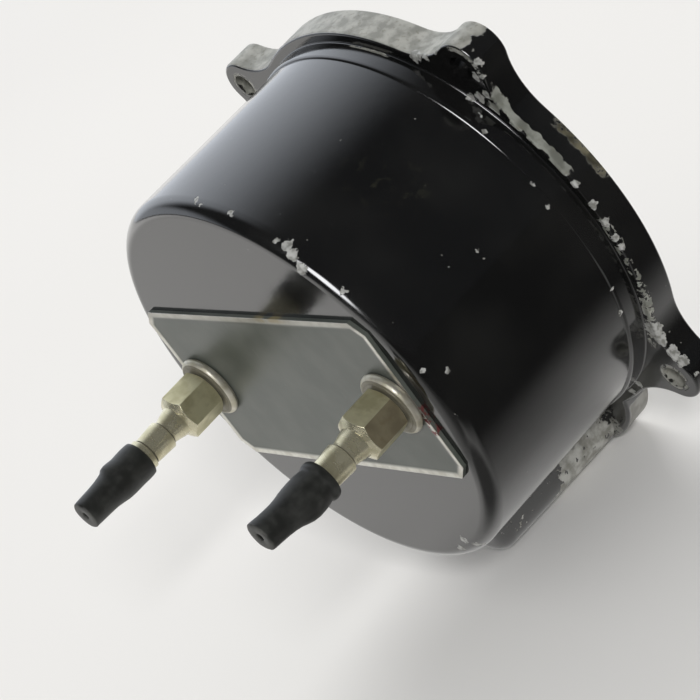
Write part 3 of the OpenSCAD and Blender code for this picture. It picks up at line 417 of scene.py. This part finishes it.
# %% Flange outline
def flange_outline():
    """Rim, four lugs with hollow blends and the lobe at the foot, as one walk in (x, z)."""
    # the centre of a hollow blend touches the rim on one side and the lug on the other
    out, off = RIM_R + BLEND, LUG_R + BLEND
    turn = math.degrees(math.acos((out ** 2 + REACH ** 2 - off ** 2) / (2 * out * REACH)))
    bx, bz = out * math.cos(math.radians(turn)), out * math.sin(math.radians(turn))
    into_lug = math.degrees(math.atan2(-bz, REACH - bx))
    lug_side = into_lug + 180
    points = []
    for a in LUG_ANGLES:
        lug = (arc(bx, -bz, BLEND, 180 - turn, -into_lug, 10)
               + arc(REACH, 0, LUG_R, -lug_side, lug_side, 22)[1:-1]
               + arc(bx, bz, BLEND, into_lug, -180 + turn, 10))
        c, s = math.cos(math.radians(a)), math.sin(math.radians(a))
        points += [(px * c - pz * s, px * s + pz * c) for px, pz in lug]
        gap = 90 - 2 * turn
        if a == 225:
            # the lobe's circle leaves the rim where the two circles cross
            half = math.degrees(math.acos((LOBE_OUT ** 2 + RIM_R ** 2 - LOBE_R ** 2)
                                          / (2 * LOBE_OUT * RIM_R)))
            meet = math.degrees(math.atan2(RIM_R * math.cos(math.radians(half)) - LOBE_OUT,
                                           RIM_R * math.sin(math.radians(half))))
            points += arc(0, 0, RIM_R, a + turn, 270 - half, 8)[1:]
            points += arc(0, -LOBE_OUT, LOBE_R, 180 + meet, 360 - meet, 40)[1:-1]
            points += arc(0, 0, RIM_R, 270 + half, a + turn + gap, 8)[:-1]
        else:
            points += arc(0, 0, RIM_R, a + turn, a + turn + gap, 24)[1:-1]
    return points

# %% [markdown]
# ## The case
#
# The real case is one casting, machined on its collar and in the glass seat.
# Here it is a flange plate joined to a turned cup and the tapered keel of the zero screw, and then
# the cavity, the holes and the bores are cut.
# The flange gets its cast rounding before the join, and the cup's rings already hold the fillet at
# the flange, the step behind the collar and the large rounding of the back edge.
# Those hollow and round rings catch the fine lines of light.

# %% Case
def rounding(radius_at, y_at, wide, high, angles):
    """(radius, y) points of a rounded edge, by angles in degrees from straight out."""
    return [(radius_at + wide * math.cos(math.radians(t)), y_at + high * math.sin(math.radians(t)))
            for t in angles]


CAVITY_R, SEAT_R, SEAT_Y = 37.0, 38.9, -2.2
HOLE_R, CHANNEL_R = 2.2, 3.0
STEP_R, KEEL_NOSE_Y, KEEL_NOSE_R = 0.754, 27.0, 3.0
BELOW = -7.0  # past the flange's front face, where the cuts begin
case = slab("case_casting", flange_outline(), FLANGE_Y, 0.0)
soften(case, 0.55, angle=50, segments=4)
root_r = COLLAR_R + FILLET
fillet = [(root_r - FILLET * math.sin(t), FILLET - 0.37 * math.cos(t))
          for t in map(math.radians, range(0, 91, 15))]
collar_step = rounding(COLLAR_R - STEP_R, COLLAR_Y, STEP_R, STEP_R, range(0, 61, 5))
back_edge = rounding(BODY_R - BACK_ROUND, LENGTH - BACK_ROUND, BACK_ROUND, BACK_ROUND, range(0, 91, 9))
cup = tower("cup", [(root_r, -3.0)] + fillet + collar_step + [(BODY_R, 4.08)] + back_edge, sides=192)
keel_nose = rounding(2.5, KEEL_NOSE_Y, KEEL_NOSE_R, KEEL_NOSE_R, [11.25 * t for t in range(1, 9)])
keel = tower("keel", [(6.27, -2.0), (6.25, -0.5), (5.5, KEEL_NOSE_Y)] + keel_nose,
             z=SPINDLE_Z, sides=64)
carve(case, cup, "UNION")
carve(case, keel, "UNION")
carve(case, tower("cavity", [(SEAT_R, BELOW), (SEAT_R, SEAT_Y), (CAVITY_R, SEAT_Y), (CAVITY_R, 37.55)],
                  sides=192))
for a in LUG_ANGLES:
    carve(case, tower("hole", [(HOLE_R, BELOW), (HOLE_R, 1.0)], x=REACH * math.cos(math.radians(a)),
                      z=REACH * math.sin(math.radians(a)), sides=32))
for side in (-PORT_X, PORT_X):
    carve(case, tower("port", [(PORT_BORE_R, 36.0), (PORT_BORE_R, 42.0)], x=side, sides=48))
carve(case, tower("channel", [(CHANNEL_R, BELOW), (CHANNEL_R, 25.35)], z=SPINDLE_Z, sides=48))
soften(case, 0.16, angle=32, segments=2)
edit(case)
settle("case_casting", 30)
even(case)
hand_over(case, lacquer, "case_body", "case", slot="black_lacquer")

# %% [markdown]
# ## Nameplate
#
# The plate is thin sheet with a dark field etched below a bright border, and its corners are cut off.
# The field is bare, with a few scratches and traces of red lacquer at its edge.
# The inset gives the border one even width all round, and pushing the inner face down gives the
# etched step.

# %% Nameplate
plate_finish, shader, place, (x, y, z) = finish("plate_grey")
border = y.over(40.74, 40.80)
tone = place.noise(0.12, 3.0)
scratch = place.node("ShaderNodeMapping", inputs={
    "Vector": place, "Rotation": (0.0, 0.6, 0.0), "Scale": (4.0, 1.0, 0.12)})
scratch = scratch.noise(1.6, 2.0).over(0.72, 0.78)
red = ((x + 33.0).math("ABSOLUTE").over(1.1, 0.5) * z.near(-3.4, 3.4, 0.4)
       * place.noise(0.9, 3.0).over(0.5, 0.56))
smear = (z.over(15.2, 16.0) * (x + 8.0).math("ABSOLUTE").over(6.0, 2.0)
         * place.noise(0.35, 3.0).over(0.45, 0.6))
field_tint = tone.over(0.3, 0.7).mix(colour(0.078, 0.088, 0.076), colour(0.118, 0.127, 0.112))
edge_tint = place.noise(0.5, 4.0).over(0.3, 0.7).mix(colour(0.60, 0.58, 0.52), colour(0.77, 0.76, 0.70))
tint = border.mix((scratch * 0.4).mix(field_tint, colour(0.3, 0.3, 0.28)), edge_tint)
# the top border is painted darker here: painted shade
tint = (border * z.over(14.2, 15.4) * 0.55).mix(tint, colour(0.30, 0.295, 0.265))
tint = (smear * 0.5).mix(tint, colour(0.42, 0.33, 0.14))
tint = red.mix(tint, colour(0.16, 0.012, 0.015))
feed(shader, Base_Color=tint, Metallic=border * 0.65 + 0.25,
     Roughness=border * 0.05 + tone * 0.15 + 0.28,
     Normal=bump(tone + scratch * -0.4, 0.25, 0.0002))
PLATE_X, PLATE_Z, CORNER, PLATE_Y = 33.7, 16.35, 2.5, 40.85
plate = slab("nameplate_sheet", [
    (PLATE_X, PLATE_Z - CORNER), (PLATE_X - CORNER, PLATE_Z),
    (CORNER - PLATE_X, PLATE_Z), (-PLATE_X, PLATE_Z - CORNER),
    (-PLATE_X, CORNER - PLATE_Z), (CORNER - PLATE_X, -PLATE_Z),
    (PLATE_X - CORNER, -PLATE_Z), (PLATE_X, CORNER - PLATE_Z)], LENGTH, PLATE_Y)
edit(plate)
bpy.ops.mesh.select_all(action="DESELECT")
bpy.ops.object.mode_set(mode="OBJECT")
for face in plate.data.polygons:
    face.select = face.normal.y > 0.9
bpy.ops.object.mode_set(mode="EDIT")
bpy.ops.mesh.inset(thickness=1.5 * MM)
bpy.ops.transform.translate(value=(0, -0.12 * MM, 0))
bpy.ops.object.mode_set(mode="OBJECT")
for side in (-PORT_X, PORT_X):
    carve(plate, tower("port", [(PORT_BORE_R, 39.0), (PORT_BORE_R, 42.0)], x=side, sides=48))
soften(plate, 0.05, angle=30, segments=2)
edit(plate)
settle("nameplate_sheet", 30)
even(plate)
hand_over(plate, plate_finish, "case_body", "nameplate", slot="plate_grey")

# %% [markdown]
# ## Hose fittings
#
# Each fitting is turned from hexagon bar: the lathe bevels the hexagon's ends, and leaves a tapered
# neck and two barbs.
# So a six-sided bar is cut by a turned form, and the rest is one tower of rings.
# The plating has yellowed, most on the flats, and one flat of the fitting at -X is painted darker
# and browner as painted shade. The bevel and the neck are a little lighter, and the washers are greyer.

# %% Plated brass
nickel, shader, place, (x, y, z) = finish("tarnished_nickel")
tarnish = place.noise(0.35, 3.0).over(0.35, 0.7)
across = x - x.math("SIGN") * PORT_X
# on the lathe's bevel this sum is zero, and it grows along the neck
turned_end = ((across * across + z * z).math("SQRT") + y * 1.6387 - 85.23).over(-0.12, -0.04)
on_hex = y.over(42.4, 42.6) * (1.0 - turned_end)
# one flat's painted shade, told by its distance along its own normal, and only on the fitting at -X
shaded_flat = on_hex * (across * -0.9976 + z * 0.0698).over(3.92, 3.97) * x.over(0.0, -1.0)
streak = place.node("ShaderNodeMapping", inputs={"Vector": place, "Scale": (0.2, 2.5, 0.2)})
streak = streak.noise(0.8, 2.0)
light = tarnish.mix(colour(0.70, 0.66, 0.48), colour(0.55, 0.51, 0.34))
dull = tarnish.mix(colour(0.68, 0.64, 0.42), colour(0.52, 0.48, 0.29))
dull = (shaded_flat * 0.8).mix(dull, tarnish.mix(colour(0.40, 0.335, 0.22), colour(0.30, 0.25, 0.17)))
stain = place.noise(0.5, 3.0).over(0.55, 0.75) * 0.25
# near-black painted shade in the two barb grooves and in the gap between the washer and the hexagon
groove_shade = y.near(53.3, 0.16, 0.05).most(y.near(42.36, 0.14, 0.04)).most(y.near(57.88, 0.14, 0.05))
plated = stain.mix(on_hex.mix(light, dull), colour(0.20, 0.145, 0.06))
feed(shader, Base_Color=(groove_shade * 0.85).mix(plated, colour(0.05, 0.045, 0.035)),
     Metallic=0.80 - groove_shade * 0.4, Roughness=tarnish * 0.08 + streak * 0.08 + on_hex * 0.10 + 0.20)


washer_worn, shader, place, (x, y, z) = finish("washer_worn")
cloud = place.noise(0.5, 4.0).over(0.3, 0.7)
# a near-black painted shade line on the washer's top, in the gap under the hexagon
washer_gap_shade = y.near(42.2, 0.05, 0.03)
washer_tint = cloud.mix(colour(0.66, 0.63, 0.54), colour(0.50, 0.47, 0.36))
feed(shader, Base_Color=(washer_gap_shade * 0.8).mix(washer_tint, colour(0.10, 0.09, 0.06)),
     Metallic=0.8 - washer_gap_shade * 0.5, Roughness=cloud * 0.14 + 0.38,
     Normal=bump(place.noise(3.0, 3.0), 0.1, 0.0001))

# %% Fittings
WASHER_Y, HEX_Y, HEX_CORNER = 42.25, 42.5, 4.6188


def washer(name, side):
    """A round-edged washer between the plate and the hexagon."""
    rings = ([(PORT_BORE_R, PLATE_Y), (5.85, PLATE_Y)] + rounding(5.0, 41.3, 1.1, 0.95, range(0, 85, 12))
             + [(4.85, 42.17), (4.78, WASHER_Y), (PORT_BORE_R, WASHER_Y), (PORT_BORE_R, PLATE_Y)])
    return tower(name, rings, x=side, sides=72)


def fitting(name, side, turn):
    """A hexagon, turned by some degrees, with its neck, its two barbs and the shank in the case."""
    bar = slab(name, [(side + px, pz) for px, pz in arc(0, 0, HEX_CORNER, turn, turn + 300, 5)],
               HEX_Y, 50.15)
    form = tower("form", [(3.7, 42.45), (3.75, HEX_Y), (5.0, 43.05), (5.0, 48.96), (3.05, 50.15),
                          (3.0, 50.2)], x=side, sides=72)
    carve(bar, form, "INTERSECT")
    soften(bar, 0.09, angle=20, segments=2)
    turned = tower("turned", [
        (3.0, 35.55), (3.0, 42.2), (3.7, WASHER_Y), (3.7, 42.6), (3.0, 42.7), (3.0, 49.6), (3.05, 50.15),
        (2.42, 52.6), (2.40, 52.7), (2.40, 53.35), (2.45, 53.4), (2.80, 53.5), (2.85, 53.56),
        (2.62, 57.6), (2.55, 57.75), (2.40, 57.8), (2.40, 58.02), (2.88, 58.12), (2.95, 58.2),
        (2.36, 62.2), (2.25, 62.35), (1.35, 62.4), (1.25, 62.3), (1.25, 36.0)],
        x=side, sides=72, smooth=28)
    bpy.ops.object.select_all(action="DESELECT")
    turned.select_set(True)
    bar.select_set(True)
    bpy.context.view_layer.objects.active = bar
    bpy.ops.object.join()
    edit(bar)
    return settle(name, 28)


for port, side, turn in (("static", PORT_X, 18), ("vessel", -PORT_X, 26)):
    hand_over(washer(port + "_washer_turned", side), washer_worn, "case_body",
              port + "_port_washer", slot="tarnished_nickel")
    hand_over(fitting(port + "_fitting_turned", side, turn), nickel, "case_body",
              port + "_port_nozzle", slot="tarnished_nickel")

# %% [markdown]
# ## Rubber caps
#
# The caps are moulded black rubber, pushed over the barbs, so the sleeve swells where a barb is
# under it.
# Beyond the barb the sleeve narrows, and the flat end is painted grey, partly for wear and partly as a
# painted reflection, and has a dimple from the mould.
# One cap sits straight and has a shoulder on its upper side. The other has a lip round its mouth and
# bends upwards a little.
# The vertices of a plain tower are pushed aside for the shoulder and the bend, and a cloud texture
# keeps either cap from looking turned.

# %% Caps
rubber, shader, place, (x, y, z) = finish("black_rubber", IOR=1.52)
dust = place.noise(0.5, 5.0)
STATIC_CAP_Y, VESSEL_CAP_Y, CAP_LENGTH = 59.15, 57.85, 14.2
further = x.over(-1.0, 1.0) * (STATIC_CAP_Y - VESSEL_CAP_Y)
# the end face is painted lighter: partly wear and partly a painted reflection
worn_end_and_sheen = (y - further).over(71.7, 71.95) * dust.over(0.3, 0.6) * 0.8
rubber_tint = dust.over(0.35, 0.8).mix(colour(0.013, 0.0135, 0.012), colour(0.030, 0.031, 0.028))
feed(shader, Base_Color=worn_end_and_sheen.mix(rubber_tint, colour(0.062, 0.062, 0.055)),
     Roughness=dust * 0.25 + 0.36, Normal=bump(place.noise(1.6, 4.0), 0.12, 0.0002))


def cap(name, side, start, drift, sleeve, shoulder):
    """A cap from its blind bore out round the mouth and along the sleeve to the dimple."""
    rings = [(1.4, 10.8), (1.4, 4.6), (3.0, 4.55), (3.0, 0.5), (3.06, 0.12), (3.22, 0.0)]
    rings += [(r, t * CAP_LENGTH) for t, r in sleeve]
    rings += [(2.62, 14.1), (2.5, CAP_LENGTH), (0.85, CAP_LENGTH), (0.62, 14.05), (0.5, 13.0)]
    made = tower(name, [(r, start + y) for r, y in rings], x=side, sides=64, smooth=60)
    for vertex in made.data.vertices:
        along = (vertex.co.y / MM - start) / CAP_LENGTH
        t = max(0.0, along - 0.4) / 0.6
        # the shoulder swells on the upper side and ends in a step
        if along < 0.47:
            swell = max(0.0, 1 - abs(along - 0.44) / 0.16)
        else:
            swell = max(0.0, (0.50 - along) / 0.03) * 0.8
        upper = max(0.0, vertex.co.z / MM / 3.4)
        vertex.co.z += shoulder * swell * upper * upper * MM
        vertex.co.x += drift[0] * t * MM
        vertex.co.z += drift[1] * t * MM
    lumps = made.modifiers.new("lumps", "DISPLACE")
    lumps.texture = bpy.data.textures.new(name, "CLOUDS")
    lumps.texture.noise_scale = 0.006
    lumps.strength, lumps.mid_level = 0.28 * MM, 0.62
    bpy.ops.object.modifier_apply(modifier="lumps")
    edit(made)
    return settle(name, 60)


# each sleeve is (share of the length, radius) from the mouth to the end
plain_sleeve = [(0.01, 3.46), (0.05, 3.54), (0.12, 3.56), (0.20, 3.52), (0.28, 3.50), (0.36, 3.50),
                (0.42, 3.46), (0.47, 3.38), (0.50, 3.28), (0.56, 3.12), (0.64, 2.96), (0.74, 2.86),
                (0.84, 2.80), (0.94, 2.76), (0.985, 2.72)]
lipped_sleeve = [(0.01, 3.58), (0.035, 3.78), (0.075, 3.84), (0.105, 3.74), (0.125, 3.46), (0.15, 3.44),
                 (0.20, 3.56), (0.27, 3.62), (0.35, 3.62), (0.43, 3.52), (0.50, 3.30), (0.57, 3.04),
                 (0.65, 2.88), (0.75, 2.82), (0.85, 2.82), (0.94, 2.84), (0.985, 2.80)]
static_cap = cap("static_cap_moulded", PORT_X, STATIC_CAP_Y, (0.0, 0.0), plain_sleeve, 0.42)
hand_over(static_cap, rubber, "static_cap", "static_port_cap", slot="black_rubber")
vessel_cap = cap("vessel_cap_moulded", -PORT_X, VESSEL_CAP_Y, (0.25, 0.95), lipped_sleeve, 0.0)
hand_over(vessel_cap, rubber, "vessel_cap", "vessel_port_cap", slot="black_rubber")

# %% [markdown]
# ## The dial side
#
# The front isn't in the photograph, so it is what such instruments have: a matt black dial with plain
# ticks and numbers, zero at nine o'clock, climb upwards and descent downwards, a pale pointer and a
# slotted ring that holds the glass.
# The ticks are small boxes set round the dial, the numbers are text made into mesh, and all of them
# are joined into one piece.

# %% Dial finishes
dial_black, shader, place, _ = finish("dial_black", Roughness=0.75)
feed(shader, Base_Color=place.noise(0.3, 4.0).mix(colour(0.008, 0.008, 0.008),
                                                  colour(0.018, 0.018, 0.017)))
dial_white, shader, place, _ = finish("pointer_white", Roughness=0.6)
feed(shader, Base_Color=place.noise(0.5, 4.0).mix(colour(0.66, 0.65, 0.55), colour(0.76, 0.75, 0.66)))
ring_black, shader, place, _ = finish("black_ring", Roughness=0.42)
feed(shader, Base_Color=place.noise(0.5, 4.0).over(0.3, 0.8).mix(colour(0.008, 0.008, 0.008),
                                                                 colour(0.03, 0.03, 0.028)))

# %% Dial
dial = tower("dial_disc", [(2.0, 1.2), (36.7, 1.2), (36.7, 2.0), (2.0, 2.0), (2.0, 1.2)], sides=128)
for side in (-34.75, 34.75):
    carve(dial, tower("hole", [(0.83, 0.0), (0.83, 3.0)], x=side, sides=24))
edit(dial)
settle("dial_disc", 30)
hand_over(dial, dial_black, "case_body", "dial", slot="dial_black")


def on_dial(value):
    """A scale value's angle in degrees as the front shows it: 0 at nine o'clock, climb clockwise."""
    return 180.0 - value * 28.0


TICK_END, NUMBER_R, MARK_Y = 32.2, 22.6, 1.18
marks = []
for step in range(-25, 26):
    whole = step % 5 == 0
    inner, half = (27.4, 0.42) if whole else (29.9, 0.2)
    a = math.radians(on_dial(step / 5))
    mid = (inner + TICK_END) / 2
    bpy.ops.object.select_all(action="DESELECT")
    bpy.ops.mesh.primitive_cube_add(
        size=1, location=(mid * math.cos(a) * MM, MARK_Y * MM, mid * math.sin(a) * MM),
        rotation=(0, -a, 0), scale=((TICK_END - inner) * MM, 0.04 * MM, 2 * half * MM))
    bpy.ops.object.transform_apply(location=True, rotation=True, scale=True)
    marks.append(bpy.context.object)
    if whole:
        bpy.ops.object.select_all(action="DESELECT")
        bpy.ops.object.text_add()
        text = bpy.context.object
        text.data.body = str(abs(step) // 5)
        text.data.size, text.data.align_x, text.data.align_y = 6.4 * MM, "CENTER", "CENTER"
        text.data.extrude = 0.02 * MM
        bpy.ops.object.convert(target="MESH")
        text = bpy.context.object
        text.rotation_euler = (math.pi / 2, 0, 0)
        text.location = (NUMBER_R * math.cos(a) * MM, MARK_Y * MM, NUMBER_R * math.sin(a) * MM)
        bpy.ops.object.transform_apply(location=True, rotation=True, scale=True)
        marks.append(text)
bpy.ops.object.select_all(action="DESELECT")
for piece in marks:
    piece.select_set(True)
bpy.context.view_layer.objects.active = marks[0]
bpy.ops.object.join()
settle("dial_marks", 30)
hand_over(bpy.context.object, dial_white, "case_body", slot="pointer_white")

# %% Pointer and ring
pointer = slab("pointer_blade", [(-27.0, 0.0), (-19.44, 1.3), (0.0, 0.78), (8.0, 1.04),
                                 (8.0, -1.04), (0.0, -0.78), (-19.44, -1.3)], -0.1, 0.3)
hub = tower("hub", [(2.0, -0.5), (2.0, 0.7)], sides=48)
carve(pointer, hub, "UNION")
soften(pointer, 0.08, angle=30, segments=2)
edit(pointer)
settle("pointer_blade", 30)
hand_over(pointer, dial_white, "pointer_set", "pointer", slot="pointer_white")

glass_ring = tower("glass_ring_turned", [
    (36.3, -4.8), (36.3, -5.6), (36.7, -6.0), (38.6, -6.0), (38.87, -5.75), (38.87, -4.8),
    (36.3, -4.8)], sides=192)
bpy.ops.object.select_all(action="DESELECT")
bpy.ops.mesh.primitive_cube_add(size=1, location=(0, -6.0 * MM, 0), scale=(80 * MM, 1.2 * MM, 1.6 * MM))
bpy.ops.object.transform_apply(location=True, rotation=True, scale=True)
carve(glass_ring, bpy.context.object)
soften(glass_ring, 0.06, angle=30, segments=2)
edit(glass_ring)
settle("glass_ring_turned", 30)
hand_over(glass_ring, ring_black, "case_body", "glass_ring", slot="black_ring")

# %% [markdown]
# ## The works
#
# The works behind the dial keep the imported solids, which already hold the true gear teeth, spiral
# and corrugations.
# They get the metals that a watchmaker would expect: satin brass plates, bright steel arbors and a
# blued spring.

# %% Metals of the works
def metal_finish(name, dark, bright, rough):
    """A metal whose grain wanders between two colours."""
    material, shader, place, _ = finish(name, Metallic=1.0)
    grain = place.noise(0.6, 4.0)
    feed(shader, Base_Color=grain.over(0.3, 0.7).mix(colour(*dark), colour(*bright)),
         Roughness=grain * 0.15 + rough,
         Normal=bump(place.noise(2.5, 3.0), 0.06, 0.0001))
    return material


brass = metal_finish("brass", (0.50, 0.36, 0.14), (0.66, 0.49, 0.22), 0.22)
steel = metal_finish("steel", (0.42, 0.42, 0.41), (0.58, 0.58, 0.56), 0.18)
blued = metal_finish("blued_steel", (0.03, 0.05, 0.14), (0.06, 0.09, 0.24), 0.2)
copper = metal_finish("copper", (0.52, 0.24, 0.13), (0.68, 0.34, 0.20), 0.25)
glass, shader, place, _ = finish("window_glass", Transmission_Weight=1.0, IOR=1.5)
feed(shader, Roughness=place.noise(0.05, 2.0) * 0.03, Base_Color=place.noise(0.02, 1.0).mix(
    colour(0.93, 0.97, 0.96), colour(0.97, 0.99, 0.98)))
looks = {"brass": brass, "steel": steel, "blued_steel": blued, "copper": copper, "window_glass": glass,
         "black_rubber": rubber, "tarnished_nickel": nickel}
for part in frame["record"]["subparts"]:
    look = looks.get(part["material_slot"])
    if look:
        node = frame["nodes"][part["node"]]
        for index in range(len(node.data.materials)):
            node.data.materials[index] = look
print("metals on the packed nodes:", ", ".join(sorted(looks)))

# %% [markdown]
# ## The disc that bends
#
# One piece of the works changes its form as it moves: the capsule's front disc is thin spun sheet
# with five rings of waves. Its rim is soldered to the rear disc and its centre carries the boss.
# A imported solid can't bend, so a tower of rings with the same waves takes its place.

# %% Capsule disc
DISC_HALF, DISC_RIM_HALF, SHEET, FLAT_R, WAVES, WAVE = 2.4, 0.7, 0.3, 5.0, 5, 0.2
disc_r, disc_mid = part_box("capsule_front")[1].x / MM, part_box("capsule_front")[1].y / MM
wave_end = disc_r - 1.0


def disc_height(r):
    """Height of the sheet's outer face over the capsule's middle plane."""
    t = (r - FLAT_R) / (wave_end - FLAT_R)
    return (DISC_HALF - (DISC_HALF - DISC_RIM_HALF) * t * t * (3 - 2 * t)
            + WAVE * math.sin(2 * math.pi * WAVES * t))


radii = [FLAT_R + (wave_end - FLAT_R) * i / (8 * WAVES) for i in range(8 * WAVES + 1)]
disc = tower("capsule_disc_spun", [(0.05, disc_mid - DISC_HALF + SHEET)]
             + [(r, disc_mid - disc_height(r) + SHEET) for r in radii]
             + [(wave_end, disc_mid), (disc_r, disc_mid), (disc_r, disc_mid - DISC_RIM_HALF)]
             + [(r, disc_mid - disc_height(r)) for r in reversed(radii)]
             + [(0.05, disc_mid - DISC_HALF)], smooth=40)
paint(disc, brass)
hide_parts("capsule_front")
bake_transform(disc)
tell(disc)

# %% [markdown]
# ## Stage
#
# The instrument stands on a pale floor in the soft light of a room.
# Two lamps give the shadows: one behind the camera and a little above it, and a broad one beyond the
# instrument.
# The lacquer is a mirror, so what matters most is what it sees.
# The world shows mirror rays a bluish window on the +X side towards the front, a pale strip low
# beside it, one small bulb on the fittings' side and a dark room elsewhere. It lights everything
# else evenly.
# Far off the floor fades into the pale background, so that the camera sees no horizon.
# For mirror rays the floor is dark where the photograph's room was dark, and lighter far off and
# close to the case.
# The camera's place and axes come from a fit to the photograph's circles and corners.

# %% Floor
bpy.ops.object.select_all(action="DESELECT")
FLOOR_SIZE, FLOOR_Z = 12, -0.0495
bpy.ops.mesh.primitive_plane_add(size=FLOOR_SIZE, location=(0, 0, FLOOR_Z))
floor = bpy.context.object
floor.name = "floor"
pale, shader, place, (x, y, z) = finish(
    "floor_pale", Roughness=0.9, Specular_IOR_Level=0.0, Emission_Strength=1.0)
path = pale.node_tree.nodes.new("ShaderNodeLightPath")
mirror_rays = Field(pale.node_tree, path.outputs["Is Glossy Ray"])
camera_rays = Field(pale.node_tree, path.outputs["Is Camera Ray"])
fade = camera_rays * (x * x + y * y).math("SQRT").over(280.0, 900.0)
# a painted shadow of the instrument on the floor near the fitting at -X, seen only by mirror rays
under = ((x + 34.0) * (x + 34.0) + (y - 62.0) * (y - 62.0)).math("SQRT").over(34.0, 14.0)
shade = (x.over(-26.0, -70.0).math("POWER", 0.75) * y.over(62.0, 22.0)).most(
    x.over(-48.0, -90.0))
beside = y.over(66.0, 90.0) * (x.over(80.0, 20.0) * 0.5 + x.over(0.0, -70.0) * 0.4)
shade = mirror_rays * shade.most(under * 0.8).most(beside).most(y.over(450.0, 800.0) * 0.8)
near_glow = (x.over(-36.0, -20.0) * x.over(40.0, 15.0) * y.over(-12.0, 26.0)
             * y.over(48.0, 36.0) * 0.22)
far_glow = x.over(250.0, 700.0) * y.over(800.0, 450.0) * 0.4
glow = (mirror_rays * near_glow.most(far_glow)).most(fade * 0.815)
pale_tint = place.noise(0.004, 2.0).mix(colour(0.80, 0.79, 0.77), colour(0.86, 0.85, 0.83))
feed(shader, Emission_Color=glow.mix(colour(0.0, 0.0, 0.0), colour(1.0, 0.992, 0.983)),
     Base_Color=shade.most(fade).mix(pale_tint, colour(0.02, 0.02, 0.02)))
paint(floor, pale)
bpy.ops.object.transform_apply(location=True, rotation=True, scale=True)
print("floor", FLOOR_SIZE, "m across at z", FLOOR_Z)

# %% World
world = bpy.context.scene.world or bpy.data.worlds.new("room")
bpy.context.scene.world = world
world.use_nodes = True
tree = world.node_tree
tree.nodes.clear()
out = tree.nodes.new("ShaderNodeOutputWorld")
spot = Field(tree, tree.nodes.new("ShaderNodeTexCoord").outputs["Generated"])
back = tree.nodes.new("ShaderNodeBackground")
back.inputs["Strength"].default_value = 0.7
tree.links.new(back.outputs[0], out.inputs[0])
side = spot.node("ShaderNodeSeparateXYZ", out=0, inputs={0: spot})
depth = spot.node("ShaderNodeSeparateXYZ", out=1, inputs={0: spot})
height = spot.node("ShaderNodeSeparateXYZ", out=2, inputs={0: spot})
window = side.over(-0.15, 0.85) * depth.over(0.42, -0.02)
skirting = height.over(0.5, 0.2) * side.over(0.62, 0.82) * 0.55
bulb = spot.node("ShaderNodeVectorMath", out=1, operation="DOT_PRODUCT",
                 inputs={0: spot, 1: (-0.12, 0.92, 0.37)})
room = window.most(skirting).mix(colour(0.05, 0.052, 0.055), colour(1.82, 1.92, 2.08))
room = bulb.over(0.97, 0.988).mix(room, colour(12.0, 12.0, 12.2))
path = tree.nodes.new("ShaderNodeLightPath")
seen = Field(tree, path.outputs["Is Glossy Ray"]).mix(colour(0.69, 0.69, 0.69), room)
seen = Field(tree, path.outputs["Is Camera Ray"]).mix(seen, colour(1.18, 1.17, 1.16))
tree.links.new(seen.socket, back.inputs["Color"])


# %% Lamps and camera
def lamp(name, place, size, power):
    """A square lamp aimed at the origin, which mirror rays don't see."""
    bpy.ops.object.light_add(type="AREA", location=place)
    light = bpy.context.object
    light.name = name
    light.data.size, light.data.energy = size, power
    away = Vector(place).normalized()
    across = Vector((0, 1, 0)).cross(away).normalized()
    light.rotation_euler = Matrix((across, away.cross(across), away)).transposed().to_euler()
    light.visible_glossy = False
    return light


lamp("key", (-2.85, 1.075, 1.875), 0.75, 67)
lamp("room_window", (2.0, -1.75, 2.25), 2.0, 62)

bpy.ops.object.camera_add()
camera = bpy.context.object
camera.data.lens, camera.data.sensor_width = 145.706, 36.0
right, up = (-0.5433, -0.6326, -0.5519), (0.0375, -0.6751, 0.7368)
rear, eye = (-0.8387, 0.3796, 0.3905), (-0.39175, 0.20623, 0.18083)
camera.matrix_world = Matrix([(right[i], up[i], rear[i], eye[i]) for i in range(3)] + [(0, 0, 0, 1)])
print("camera at", eye, "with a lens of", round(camera.data.lens, 3), "mm")
bpy.context.scene.camera = camera
bpy.context.scene.view_settings.view_transform = "Standard"
